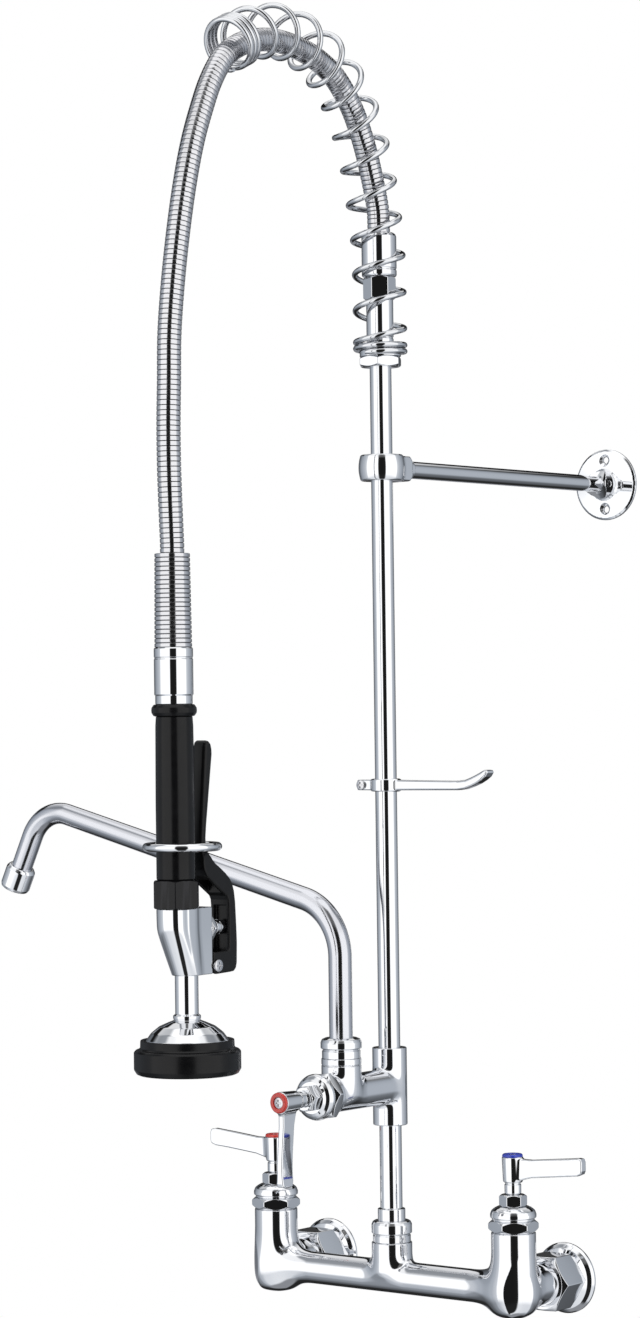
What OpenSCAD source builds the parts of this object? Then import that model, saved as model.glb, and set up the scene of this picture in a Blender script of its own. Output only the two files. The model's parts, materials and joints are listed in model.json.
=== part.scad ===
// Wall-mounted pre-rinse faucet: mixing body, add-on faucet with swing spout,
// riser with wall bracket, overhead spring with hose, and squeeze spray valve.
// Frame: origin midway between the two inlets on the wall plane, +X right,
// +Y into the wall, +Z up. Sizes are in millimetres.

/* [Mixing body] */
// Distance between the two inlet axes
inlet_centres = 203.2; // [180:0.1:260]
// Distance from the wall to the plane of the body and the riser
stand_off = 62; // [60:1:70]
// Diameter of the crossbar
crossbar_d = 22; // [20:0.5:24]
// Diameter of the two valve towers
tower_d = 31.5; // [30:0.5:34]
// Height of the valve towers above the inlet axes
tower_top = 39; // [36:0.5:44]
// Diameter of the centre post
post_d = 27.8; // [26:0.2:32]

/* [Valve handles] */
// Reach of a lever from its valve's axis
lever_reach = 56; // [45:1:70]
// Thickness of a lever's blade
lever_t = 4.5; // [3:0.5:7]

/* [Column] */
// Diameter of the riser
riser_d = 14.9; // [14:0.1:15.6]
// Height of the riser's top end
riser_top = 640; // [638:1:642]
// Height of the add-on faucet's barrel
addon_z = 130.5; // [125:0.5:135]

/* [Swing spout] */
// Reach of the spout from its own axis
spout_reach = 298; // [250:1:360]
// Diameter of the spout tube
spout_d = 15.8; // [14:0.1:16]
// Rise of the spout's arm, in degrees
spout_rise = 14.3; // [8:0.1:20]

/* [Wall bracket] */
// Height of the bracket
bracket_z = 554.5; // [450:0.5:600]
// Place of the bracket's flange, measured from the plane of the inlets
bracket_reach = 219; // [100:1:300]
// Diameter of the bracket's flange
bracket_flange_d = 53; // [48:1:60]
// Distance between the flange's two screw holes
bracket_holes = 37; // [34:1:40]

/* [Spray hook] */
// Height of the spray hook
hook_z = 336.6; // [300:0.1:420]
// Length of the hook's arm from the riser's axis
hook_reach = 88; // [50:1:90]

/* [Spring and hose] */
// Diameter of the spring's wire
wire_d = 4; // [3:0.1:4.5]
// Outer diameter of the spring
spring_d = 37.5; // [36:0.5:40]
// Outer diameter of the hose
hose_d = 15.5; // [14:0.1:15.8]

/* [Spray valve] */
// Diameter of the grip
grip_d = 25; // [24:0.1:26]
// Diameter of the rubber bumper
bumper_d = 68.5; // [60:0.5:76]
// Outer diameter of the hold ring
hold_ring_d = 51; // [50:0.5:54]

/* [Hidden] */
$fn = 64;

over = 1;                       // how far a cut runs past the face it opens
slide_gap = 0.05;               // radial clearance of a running fit
half_span = inlet_centres / 2;
body_y = -stand_off;
boss_r = 14.5;                  // inlet bosses of the body
boss_back = -20;                // where a boss ends, towards the wall
adapter_r = 11.9;
inlet_r = 10.4;                 // bore of a half-inch female inlet
water_r = 7;                    // waterways inside the body
cartridge_r = 9.9;
cartridge_len = 26;
post_top = 24;
nut_top = 38.5;
sleeve_r = 9.45;                // stepped foot of the lower riser
foot_r = 8;
lower_riser_r = 7.6;
collar_low = 104;               // add-on body's collar on the column
collar_high = 157;
collar_r = 11.8;
barrel_r = 12;
barrel_front = -133;
spout_y = -116;
spout_post_top = 154.4;
spout_foot = 146;
spout_nut_top = 168;
hook_screw_x = -18.5;           // screw of the spray hook's clamp
chrome_grey = [0.80, 0.81, 0.83];
black = [0.09, 0.09, 0.10];

// Stations along a valve's axis, from the seat of its bonnet
hex_top = 8.5;
hex_turn = -22;                  // turn of the small hexagons, in degrees
dome_top = 17;
packing_top = 25;
stem_collar_top = 33;
hub_top = 50;
index_top = 52;
stem_r = 3.5;
spline_r = 4;
screw_r = 2;

// Height of parts at the top of the riser
spring_seat = 631;
sleeve_top = 670;
adapter_top = 686;
hose_exit = 716;

// Handset stations: its axis stands at handset_y
handset_y = -285;
head_y = -276;                  // axis of the neck and the spray head
sleeve_mouth = 490;
ferrule_high = 430;
ferrule_low = 394;
grip_high = 386;
grip_low = 282;
valve_high = 264;
valve_low = 221;
valve_r = 13;
plunger_z = 250;
pivot_z = 226;
hold_ring_z = 303;
hold_ring_shift = 6.3;           // the ring's centre, behind the grip's axis

// Centreline of the hose in the plane x = 0, as [y, z]
hose_route = [
    [-62, 716], [-62, 722], [-63, 734], [-69, 754], [-78, 777], [-91, 799],
    [-109, 817], [-130, 827], [-153, 832], [-176, 833], [-196, 830],
    [-213, 824], [-228, 814], [-241, 797], [-251, 777], [-260, 755],
    [-268, 728], [-275, 697], [-281, 663], [-285, 630], [-286, 600],
    [-287, 573], [-287, 546], [-286, 518], [-285, 497], [-285, 490]
];
arch_end = 11;                  // point where the hose leaves the spring
drop_end = 20;                  // point where it hangs free above the handset
hose_gap = 0.02;                // clearance between one stretch and the next
hose_sides = 12;

// Centreline of the spring in the same plane
coil_route = [
    [-62, 633], [-62, 672], [-63, 704], [-68, 735], [-76, 765], [-88, 792],
    [-105, 814], [-128, 830], [-153, 838], [-178, 839], [-202, 833], [-224, 823]
];
route_steps = 6;
closed_pitch = wire_d + 0.3;
foot_turns = 2;
end_turns = 3;
open_turns = 12;
turn_steps = 20;
wire_sides = 8;

// ---------------------------------------------------------------- helpers

// Cylinder along Y from y0 to y1
module along_y(r, y0, y1, x = 0, z = 0) {
    translate([x, y0, z]) rotate([-90, 0, 0]) cylinder(r = r, h = y1 - y0);
}

// Cylinder along X from x0 to x1
module along_x(r, x0, x1, y, z) {
    translate([x0, y, z]) rotate([0, 90, 0]) cylinder(r = r, h = x1 - x0);
}

// Cylinder along Z from z0 to z1
module along_z(r, z0, z1, x = 0, y = 0) {
    translate([x, y, z0]) cylinder(r = r, h = z1 - z0);
}

// Ring along Z
module ring_z(r_out, r_in, z0, z1, x = 0, y = 0) {
    difference() {
        along_z(r_out, z0, z1, x, y);
        along_z(r_in, z0 - over, z1 + over, x, y);
    }
}

// Hexagonal prism along Z, sized across its corners
module hex_z(across, z0, z1) {
    translate([0, 0, z0]) cylinder(d = across, h = z1 - z0, $fn = 6);
}

// Cross recess in a screw's head, cut down from the height top
module cross_recess(top, size) {
    for (turn = [0, 90])
        rotate([0, 0, turn])
            translate([-size / 2, -0.5, top - 1]) cube([size, 1, 2]);
}

// Same thing on both sides of the body's middle
module both_sides() {
    for (side = [-1, 1])
        translate([side * half_span, 0, 0]) children();
}

// Frames of the three valves: hot, cold and add-on
module at_hot() { translate([-half_span, body_y, tower_top]) children(); }
module at_cold() {
    translate([half_span, body_y, tower_top]) rotate([0, 0, 180]) children();
}
module at_addon() {
    translate([0, barrel_front, addon_z]) rotate([90, 0, 0])
        rotate([0, 0, 90]) children();
}
module at_handset() { translate([0, handset_y, 0]) children(); }

// Bend of a tube: a quarter-ring slice that starts at the origin along +Z
// and turns towards -X with the given radius
module bend(bend_r, tube_r, angle) {
    translate([-bend_r, 0, 0]) rotate([90, 0, 0])
        rotate_extrude(angle = angle) translate([bend_r, 0]) circle(r = tube_r);
}

// ------------------------------------------------- smooth routes and sweeps

function blend_4(a, b, c, d, t) =
    0.5 * (2 * b + (c - a) * t + (2 * a - 5 * b + 4 * c - d) * t * t
    + (3 * b - a - 3 * c + d) * t * t * t);

function smooth(route, steps) = [
    for (i = [0 : len(route) - 2], k = [0 : steps - 1])
        blend_4(route[max(i - 1, 0)], route[i], route[i + 1],
                route[min(i + 2, len(route) - 1)], k / steps),
    route[len(route) - 1]
];

// Length of the path up to each of its points
function lengths(path) = [
    for (i = 0, s = 0; i < len(path);
         s = s + (i + 1 < len(path) ? norm(path[i + 1] - path[i]) : 0),
         i = i + 1) s
];

// Direction of the path at point i
function heading(path, i) =
    let (d = path[min(i + 1, len(path) - 1)] - path[max(i - 1, 0)]) d / norm(d);

// Circle of points around c, square to the heading d, both in the plane x = 0
function ring_at(c, d, r, sides) = [
    for (k = [0 : sides - 1])
        let (a = 360 * k / sides)
        [r * sin(a), c[0] - d[1] * r * cos(a), c[1] + d[0] * r * cos(a)]
];

// Closed solid through a list of rings of points
module loft(rings) {
    n = len(rings[0]);
    last = (len(rings) - 1) * n;
    polyhedron(
        points = [for (r = rings, p = r) p],
        faces = concat(
            [[for (k = [n - 1 : -1 : 0]) k]],
            [[for (k = [0 : n - 1]) last + k]],
            [for (i = [0 : len(rings) - 2], k = [0 : n - 1])
                let (a = i * n + k, b = i * n + (k + 1) % n)
                [a, b, b + n, a + n]]
        ));
}

// Stretch of the hose between two points of its route
module hose(first, last) {
    color("lightgrey")
    loft([for (i = [first : last])
        let (d = heading(hose_route, i),
             start = i == first && first > 0 ? hose_gap : 0)
        ring_at(hose_route[i] + start * d, d, hose_d / 2, hose_sides)]);
}

// Point on a measured path at length s, with its heading
function place_at(path, marks, s) =
    let (i = max([for (k = [0 : len(marks) - 2]) if (marks[k] <= s) k]),
         t = (s - marks[i]) / (marks[i + 1] - marks[i]))
    [path[i] + (path[i + 1] - path[i]) * t,
     heading(path, i) * (1 - t) + heading(path, i + 1) * t];

// ------------------------------------------------------------ mixing body

module faucet_body() {
    color(chrome_grey)
    difference() {
        union() {
            along_x(crossbar_d / 2, -half_span, half_span, body_y, 0);
            both_sides() {
                translate([0, body_y, 0]) tower();
                along_y(boss_r, body_y, boss_back);
            }
            for (side = [-1, 1])
                translate([side * half_span, body_y, 0])
                    rotate([0, -side * 90, 0])
                        cylinder(r1 = 15, r2 = crossbar_d / 2, h = 34);
            translate([0, body_y, 0]) centre_post();
        }
        along_x(water_r, -half_span, half_span, body_y, 0);
        both_sides() {
            along_z(cartridge_r, tower_top - cartridge_len,
                    tower_top + over, 0, body_y);
            along_z(water_r, 0, tower_top, 0, body_y);
            along_y(water_r, body_y, boss_back + over);
        }
        along_z(foot_r, 12, post_top + over, 0, body_y);
        along_z(water_r, 0, 13, 0, body_y);
    }
}

module tower() {
    r = tower_d / 2;
    rotate_extrude()
        polygon(concat(
            [[0, -17.5], [8, -17.5]],
            [for (a = [-70 : 14 : 0]) [r - 8 + 8 * cos(a), -9.5 + 8 * sin(a)]],
            [[r, 8], [r - 0.6, 16], [r - 0.6, tower_top - 9],
             [r, tower_top - 6], [r, tower_top - 1],
             [r - 1, tower_top], [0, tower_top]]));
}

module centre_post() {
    r = post_d / 2;
    rotate_extrude()
        polygon([[0, -11], [6, -11], [10, -8], [10, 4], [16.5, 8], [r + 0.6, 12],
                 [r, 16], [r, post_top - 1], [r - 1, post_top], [0, post_top]]);
}

module union_nut() {
    color(chrome_grey)
    difference() {
        translate([0, -31, 0]) rotate([-90, 0, 0]) hex_z(41.8, 0, 23);
        along_y(boss_r + slide_gap, -31 - over, -15);
        along_y(adapter_r + slide_gap, -16, -8 + over);
    }
}
module left_union_nut() { translate([-half_span, 0, 0]) union_nut(); }
module right_union_nut() { translate([half_span, 0, 0]) union_nut(); }

// Dished cover plates against the wall
module wall_flanges() {
    color(chrome_grey)
    both_sides() rotate([90, 0, 0]) rotate_extrude()
        polygon([[12, 8], [12, 5.5], [15.5, 5.2], [20, 3.6], [22, 2], [22.5, 0],
                 [24, 0], [24, 1.5], [23, 3.2], [20.8, 5.2], [16, 7.2], [14, 7.8],
                 [13.6, 8]]);
}

module inlet_adapters() {
    color("gold")
    both_sides() difference() {
        union() {
            along_y(14, -18.5, -15);
            along_y(adapter_r, -15, 0);
        }
        along_y(inlet_r, -12, over);
        along_y(water_r, -20, -11);
    }
}

module union_washers() {
    color(black)
    both_sides() difference() {
        along_y(13, boss_back, -18.5);
        along_y(8, boss_back - over, -18);
    }
}

// ---------------------------------------------------------------- valves

module bonnet() {
    color(chrome_grey)
    difference() {
        union() {
            rotate([0, 0, hex_turn]) hex_z(34, 0, hex_top);
            rotate_extrude()
                polygon([[0, hex_top], [14.2, hex_top], [15.5, hex_top + 1],
                         [15.5, hex_top + 3.4], [14.6, hex_top + 6],
                         [12.4, hex_top + 7.6], [11, dome_top], [0, dome_top]]);
        }
        along_z(stem_r + slide_gap, -over, dome_top + over);
    }
}
module hot_bonnet() { at_hot() bonnet(); }
module cold_bonnet() { at_cold() bonnet(); }
module addon_bonnet() { at_addon() bonnet(); }

module packing_nut() {
    color(chrome_grey)
    difference() {
        rotate([0, 0, hex_turn]) hex_z(19, dome_top, packing_top);
        along_z(stem_r + slide_gap, dome_top - over, packing_top + over);
    }
}
module packing_nuts() {
    at_hot() packing_nut();
    at_cold() packing_nut();
    at_addon() packing_nut();
}

// Quarter-turn valve cartridges under the bonnets
module cartridge() {
    color("goldenrod")
    difference() {
        along_z(cartridge_r, -cartridge_len, 0);
        along_z(stem_r + slide_gap, -14, over);
        along_z(4, -cartridge_len - over, -18);
    }
}
module cartridges() {
    at_hot() cartridge();
    at_cold() cartridge();
    at_addon() cartridge();
}

module stem() {
    color("goldenrod")
    difference() {
        union() {
            along_z(stem_r, -13.5, packing_top + 1);
            along_z(5.6, packing_top + 0.3, stem_collar_top);
            along_z(spline_r, stem_collar_top, hub_top - 3);
        }
        along_z(screw_r, hub_top - 16, hub_top);
    }
}
module hot_stem() { at_hot() stem(); }
module cold_stem() { at_cold() stem(); }
module addon_stem() { at_addon() stem(); }

// Lever handle: its blade points to -X in the valve's own frame
module lever_handle() {
    color(chrome_grey)
    difference() {
        union() {
            rotate_extrude()
                polygon([[0, stem_collar_top], [6.4, stem_collar_top],
                         [7.2, stem_collar_top + 1], [7.2, hub_top - 1.5],
                         [6.6, hub_top], [0, hub_top]]);
            translate([0, lever_t / 2, 0]) rotate([90, 0, 0])
                linear_extrude(lever_t)
                    polygon([[-4, stem_collar_top + 1], [-16, 37], [-36, 39],
                             [-lever_reach + 3, 41], [-lever_reach, 42.5],
                             [-lever_reach, 51], [-lever_reach + 2, 52.5],
                             [-36, 51], [-16, hub_top - 1], [-4, hub_top - 0.5]]);
        }
        along_z(spline_r, stem_collar_top - over, hub_top - 3);
        along_z(screw_r, hub_top - 4, hub_top + over);
    }
}
module hot_handle() { at_hot() lever_handle(); }
module cold_handle() { at_cold() lever_handle(); }
module addon_handle() { at_addon() lever_handle(); }

module index_button(tint) {
    color(tint) difference() {
        rotate_extrude()
            polygon([[4, hub_top], [7, hub_top], [7, index_top - 0.8],
                     [6.2, index_top], [4, index_top]]);
        along_z(3.9, hub_top - over, index_top + over);
    }
}
module hot_index() { at_hot() index_button("red"); }
module cold_index() { at_cold() index_button("blue"); }
module addon_index() { at_addon() index_button("red"); }

module handle_screw() {
    color("silver")
    difference() {
        union() {
            along_z(3.8, hub_top, index_top - 0.2);
            along_z(screw_r - slide_gap, hub_top - 14, hub_top + 0.5);
        }
        cross_recess(index_top - 0.2, 4.4);
    }
}
module hot_screw() { at_hot() handle_screw(); }
module cold_screw() { at_cold() handle_screw(); }
module addon_screw() { at_addon() handle_screw(); }

// ---------------------------------------------------------------- column

module column_nut() {
    color(chrome_grey)
    translate([0, body_y, 0]) rotate_extrude()
        polygon([[foot_r + slide_gap, post_top], [13, post_top],
                 [13, 29], [13.5, 29.6], [13.9, 31], [13.9, 36], [13.2, 37.8],
                 [12.2, nut_top], [foot_r + slide_gap, nut_top]]);
}

module lower_riser() {
    color(chrome_grey)
    translate([0, body_y, 0]) difference() {
        union() {
            along_z(foot_r - slide_gap, 13, nut_top);
            along_z(sleeve_r, nut_top, 47);
            along_z(lower_riser_r, 47, collar_low + 8);
        }
        along_z(5.8, 12, collar_low + 9);
    }
}

module addon_body() {
    color(chrome_grey)
    difference() {
        union() {
            translate([0, body_y, 0]) rotate_extrude()
                polygon([[0, collar_low], [10.8, collar_low],
                         [collar_r, collar_low + 1], [collar_r, collar_high - 1],
                         [10.8, collar_high], [0, collar_high]]);
            along_y(barrel_r, barrel_front, body_y, 0, addon_z);
            along_y(14, barrel_front, barrel_front + 4, 0, addon_z);
            translate([0, spout_y, 0]) rotate_extrude()
                polygon([[0, addon_z - 9], [8, addon_z - 9], [13, addon_z - 2],
                         [13.5, addon_z + 8], [13.5, spout_post_top - 1],
                         [12.5, spout_post_top], [0, spout_post_top]]);
        }
        along_z(lower_riser_r, collar_low - over, collar_low + 8, 0, body_y);
        along_z(riser_d / 2, collar_high - 8, collar_high + over, 0, body_y);
        along_z(6, collar_low, collar_high, 0, body_y);
        along_y(4.5, barrel_front + cartridge_len - 2, body_y, 0, addon_z);
        along_y(cartridge_r, barrel_front - over, barrel_front + cartridge_len,
                0, addon_z);
        along_z(spout_d / 2 + slide_gap, spout_foot, spout_post_top + over,
                0, spout_y);
        along_z(5, addon_z + 8, spout_foot + over, 0, spout_y);
    }
}

module spout_nut() {
    bore = spout_d / 2 + slide_gap;
    color(chrome_grey)
    translate([0, spout_y, 0]) rotate_extrude()
        polygon([[bore, spout_post_top], [13, spout_post_top], [13, 160],
                 [13.6, 160.4], [14, 161.5], [14, 165], [13.2, 167],
                 [11, spout_nut_top], [bore, spout_nut_top]]);
}

module riser_tube() {
    color(chrome_grey)
    ring_z(riser_d / 2, 5.8, collar_high - 8, riser_top, 0, body_y);
}

// ----------------------------------------------------------- wall bracket

module bracket_clamp() {
    color(chrome_grey)
    difference() {
        union() {
            translate([0, body_y, bracket_z]) rotate_extrude()
                polygon([[0, -9], [14.4, -9], [15.6, -5], [16, 0], [15.6, 5],
                         [14.4, 9], [0, 9]]);
            along_y(8.8, body_y, body_y + 27, 0, bracket_z);
            along_y(7.8, body_y + 26, body_y + 29, 0, bracket_z);
        }
        along_z(riser_d / 2, bracket_z - 10, bracket_z + 10, 0, body_y);
        along_y(6, body_y + 18, body_y + 30, 0, bracket_z);
        along_x(2, -20, -riser_d / 2 + 1, body_y, bracket_z);
    }
}

module bracket_arm() {
    color(chrome_grey)
    difference() {
        along_y(6, body_y + 18, bracket_reach - 4, 0, bracket_z);
        along_y(4.8, body_y + 17, bracket_reach - 3, 0, bracket_z);
    }
}

module bracket_flange() {
    r = bracket_flange_d / 2;
    color(chrome_grey)
    translate([0, bracket_reach, bracket_z]) rotate([90, 0, 0]) difference() {
        rotate_extrude()
            polygon([[0, 0], [r, 0], [r, 2], [r - 1.5, 3.2], [12, 4.2],
                     [10.4, 5], [10.4, 18], [9.6, 19.5], [0, 19.5]]);
        along_z(6, 4, 21);
        for (side = [-1, 1]) translate([0, side * bracket_holes / 2, 0]) {
            along_z(2.4, -over, 6);
            translate([0, 0, 1.6]) cylinder(r1 = 2.4, r2 = 5.2, h = 2.8);
        }
        translate([0, 0, 12]) rotate([0, 90, 0]) cylinder(r = 2, h = 12);
    }
}

// Socket set screws: one locks the clamp to the riser, one the arm to the flange
module bracket_set_screws() {
    color("silver") {
        difference() {
            along_x(2, -15.4, -riser_d / 2, body_y, bracket_z);
            translate([-16, body_y, bracket_z]) rotate([0, 90, 0])
                hex_z(2.4, 0, 2.5);
        }
        difference() {
            along_x(2, 6, 10, bracket_reach - 12, bracket_z);
            translate([8, bracket_reach - 12, bracket_z]) rotate([0, 90, 0])
                hex_z(2.4, 0, 2.5);
        }
    }
}

// ------------------------------------------------------------- spray hook

module spray_hook() {
    color(chrome_grey)
    translate([0, body_y, hook_z]) difference() {
        union() {
            along_z(10.4, -4.3, 4.3);
            translate([-22.5, -3.5, -3.6]) cube([15, 7, 7.2]);
            translate([0, 3.5, 0]) rotate([90, 0, 0]) linear_extrude(7)
                polygon([[8, -3.6], [30, -3.4], [hook_reach - 26, -3.2],
                         [hook_reach - 14, -0.6], [hook_reach - 5, 3.6],
                         [hook_reach, 8.2], [hook_reach - 0.6, 10.6],
                         [hook_reach - 3, 10.8], [hook_reach - 10, 7.4],
                         [hook_reach - 19, 3.9], [hook_reach - 32, 3.1],
                         [30, 3.3], [8, 3.6]]);
        }
        along_z(riser_d / 2 + slide_gap, -6, 6);
        translate([-24, -0.6, -6]) cube([18, 1.2, 12]);
        along_y(1.6, -5, 5, hook_screw_x, 0);
    }
}

module hook_screw() {
    color("silver")
    translate([hook_screw_x, body_y, hook_z]) difference() {
        union() {
            along_y(1.55, -4, 6);
            along_y(3.4, -5.6, -3.5);
        }
        rotate([90, 0, 0]) cross_recess(5.6, 3.6);
    }
}

// ------------------------------------------------------ top of the column

module spring_nut() {
    color(chrome_grey)
    translate([0, body_y, 0]) difference() {
        union() {
            hex_z(31, 623.7, spring_seat);
            along_z(14.2, spring_seat, spring_seat + 7);
        }
        along_z(riser_d / 2 + slide_gap, 623, spring_seat + 8);
    }
}

module swivel_sleeve() {
    color(chrome_grey)
    translate([0, body_y, 0]) difference() {
        along_z(9.3, spring_seat + 7, sleeve_top);
        along_z(riser_d / 2 + slide_gap, spring_seat, riser_top + 2);
        along_z(5.8, riser_top, sleeve_top + over);
    }
}

module hose_adapter() {
    color(chrome_grey)
    translate([0, body_y, 0]) difference() {
        rotate([0, 0, hex_turn]) hex_z(22.7, sleeve_top, adapter_top);
        along_z(5.8, sleeve_top - over, adapter_top + over);
    }
}

module hose_ferrule() {
    color(chrome_grey)
    translate([0, body_y, 0]) rotate_extrude()
        polygon([[5.8, adapter_top], [11.4, adapter_top], [12, adapter_top + 1],
                 [12, hose_exit - 2], [11.4, hose_exit - 1], [10, hose_exit],
                 [5.8, hose_exit]]);
}

// Compression spring wound round a curved centreline: closed turns at its
// foot and at its free end, open turns between them
module overhead_spring() {
    path = smooth(coil_route, route_steps);
    marks = lengths(path);
    total = marks[len(marks) - 1] - 0.01;
    turns = foot_turns + open_turns + end_turns;
    closed = closed_pitch * (foot_turns + end_turns);
    open_pitch = (total - closed) / open_turns;
    function run(n) = n < foot_turns ? n * closed_pitch
        : n < foot_turns + open_turns
            ? foot_turns * closed_pitch + (n - foot_turns) * open_pitch
            : total - (turns - n) * closed_pitch;
    winding_r = (spring_d - wire_d) / 2;
    steps = turns * turn_steps;
    function on_coil(k) =
        let (n = k / turn_steps, p = place_at(path, marks, run(n)),
             a = 360 * n, c = p[0], d = p[1] / norm(p[1]))
        [winding_r * sin(a), c[0] - d[1] * winding_r * cos(a),
         c[1] + d[0] * winding_r * cos(a)];
    wire = [for (k = [0 : steps]) on_coil(k)];
    color(chrome_grey)
    loft([for (k = [0 : steps])
        let (ahead = wire[min(k + 1, steps)] - wire[max(k - 1, 0)],
             d = ahead / norm(ahead),
             c = place_at(path, marks, run(k / turn_steps))[0],
             out = wire[k] - [0, c[0], c[1]],
             u = (out - d * (out * d)) / norm(out - d * (out * d)),
             v = cross(d, u))
        [for (j = [0 : wire_sides - 1])
            let (a = 360 * j / wire_sides)
            wire[k] + (u * cos(a) + v * sin(a)) * wire_d / 2]]);
}

module hose_arch() { hose(0, arch_end); }
module hose_drop() { hose(arch_end, drop_end); }
module hose_tail() { hose(drop_end, len(hose_route) - 1); }

// ---------------------------------------------------------------- handset

// Ribbed strain sleeve at the hose's lower end
module hose_sleeve() {
    ribs = 21;
    rib_h = (sleeve_mouth - ferrule_high) / ribs;
    color("silver")
    at_handset() rotate_extrude()
        polygon(concat(
            [[5, sleeve_mouth]],
            [for (i = [0 : ribs - 1], part = [0 : 2])
                let (z = sleeve_mouth - i * rib_h,
                     r = 11.2 + 0.8 * i / ribs)
                [r - (part == 0 ? 0.9 : 0), z - rib_h * [0, 0.3, 0.8][part]]],
            [[11.2, ferrule_high], [5, ferrule_high]]));
}

module grip_ferrule() {
    color(chrome_grey)
    at_handset() rotate_extrude()
        polygon([[5, ferrule_high], [11.9, ferrule_high], [12.5, 429],
                 [12.5, 400], [11.9, 399], [11.9, ferrule_low],
                 [5, ferrule_low]]);
}

module grip_ring() {
    color(black)
    at_handset() rotate_extrude()
        polygon(concat(
            [[5, ferrule_low], [11, ferrule_low]],
            [for (a = [80 : -20 : -80])
                [10.6 + 4 * cos(a), (ferrule_low + grip_high) / 2 + 4 * sin(a)]],
            [[11, grip_high], [5, grip_high]]));
}

module grip() {
    r = grip_d / 2;
    color(black)
    at_handset() rotate_extrude()
        polygon([[5, grip_low], [r, grip_low], [r, 330], [r - 0.4, 380],
                 [r - 0.8, grip_high], [5, grip_high]]);
}

module grip_nut() {
    color(black)
    at_handset() difference() {
        rotate([0, 0, 8]) hex_z(32.6, valve_high, grip_low);
        along_z(5, valve_high - over, grip_low + over);
    }
}

module valve_body() {
    color(chrome_grey)
    at_handset() difference() {
        union() {
            along_z(valve_r, valve_low, valve_high);
            translate([0, 0, valve_low]) linear_extrude(valve_high - valve_low)
                polygon([[-10, 0], [10, 0], [8, 26], [-8, 26]]);
            translate([-5, 20, valve_low + 0.5]) cube([10, 10, 9.5]);
            along_x(4.7, -5, 5, 30, pivot_z);
        }
        translate([-15, 0, 0]) rotate([90, 0, 90]) linear_extrude(30)
            polygon([[-15, 254], [-valve_r, 250], [0.5, valve_low], [0.5, 218],
                     [-20, 218], [-20, 254]]);
        along_z(4.5, 246, valve_high + over);
        along_y(7, -5, 26 + over, 0, plunger_z);
        along_z(4.5, valve_low - over, plunger_z, 0, head_y - handset_y);
        along_x(screw_r + slide_gap, -6, 6, 30, pivot_z);
    }
}

module valve_bonnet() {
    color(chrome_grey)
    at_handset() translate([0, 26, plunger_z]) rotate([-90, 0, 0])
        difference() {
            union() {
                hex_z(19.6, 0, 4);
                translate([0, 0, 4]) cylinder(r1 = 8, r2 = 5.5, h = 2.5);
                along_z(7, -8, 0);
            }
            along_z(3.25 + slide_gap, -9, 8);
        }
}

module valve_plunger() {
    color(chrome_grey)
    at_handset() {
        along_y(3.25, 8, 36, 0, plunger_z);
        along_y(5, 34.7, 44.4, 0, plunger_z);
        translate([0, 44.4, plunger_z]) rotate([-90, 0, 0])
            cylinder(r1 = 5, r2 = 4, h = 1);
        along_y(5.5, 6, 10, 0, plunger_z);
    }
}

// Return spring behind the valve's plunger
module valve_spring() {
    turns = 4;
    steps = turns * 12;
    function centre(k) = [4 * cos(30 * k), -4.3 + 9.6 * k / steps, 4 * sin(30 * k)];
    color("silver")
    at_handset() translate([0, 0, plunger_z])
        loft([for (k = [0 : steps])
            [for (j = [0 : 5])
                let (a = -60 * j, u = [cos(30 * k), 0, sin(30 * k)])
                centre(k) + u * 0.6 * cos(a) + [0, 0.6 * sin(a), 0]]]);
}

module pivot_screw() {
    color("silver")
    at_handset() translate([0, 30, pivot_z]) rotate([0, 90, 0]) difference() {
        union() {
            along_z(screw_r, -8, 8.4);
            along_z(4, 8.3, 10.3);
        }
        cross_recess(10.3, 5);
    }
}

// Long paddle, an elbow and a channel that carries the pivot and the plunger
module squeeze_lever() {
    color(black)
    at_handset() difference() {
        translate([-8, 0, 0]) rotate([90, 0, 90]) linear_extrude(16)
            lever_outline();
        for (left = [-9, 5.5])
            translate([left, -1, 298]) cube([3.5, 60, 90]);
        translate([-5.3, 10, 216]) cube([10.6, 36, 48]);
        translate([-5.3, 10, 263]) cube([10.6, 28, 18]);
        along_x(screw_r + slide_gap, -9, 9, 30, pivot_z);
    }
}
module lever_outline() {
    polygon([[23.6, 367], [25, 370], [28, 370.5], [31.2, 368], [31.8, 362],
             [24.2, 307], [24.2, 300], [25.5, 296.5], [30, 291.6], [36, 288],
             [43.5, 282.5], [47, 278.5], [49, 272], [50, 264], [51, 240],
             [50.5, 226], [48, 221.5], [44, 221], [30, 220.5], [26.6, 223],
             [26.6, 234.5], [42.5, 235], [43, 264], [42, 270], [30, 277.5],
             [20, 285], [18, 292], [19, 306], [23.1, 362]]);
}

module hold_ring() {
    wire_r = 2.75;
    color(chrome_grey)
    translate([0, handset_y + hold_ring_shift, hold_ring_z])
        rotate_extrude() translate([hold_ring_d / 2 - wire_r, 0])
            circle(r = wire_r);
}

module spray_head() {
    color(chrome_grey)
    translate([0, head_y, 0]) rotate_extrude()
        polygon([[4.5, valve_low], [7.5, valve_low], [7.5, 195], [8.4, 192.6],
                 [12, 191.2], [18, 188.6], [23, 184.6], [26.4, 180], [27.2, 178],
                 [24, 178], [21, 181], [15, 184.8], [9, 187], [4.5, 187.5]]);
}

module spray_bumper() {
    r = bumper_d / 2;
    color(black)
    translate([0, head_y, 0]) rotate_extrude()
        polygon([[22, 178], [27.2, 178], [28.5, 180.4], [30, 180], [30.2, 174.5],
                 [r - 1.6, 174], [r, 172.4], [r, 161.5], [r - 1.2, 159],
                 [r - 3, 158], [26.5, 158], [26.5, 166], [22, 166]]);
}

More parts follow.
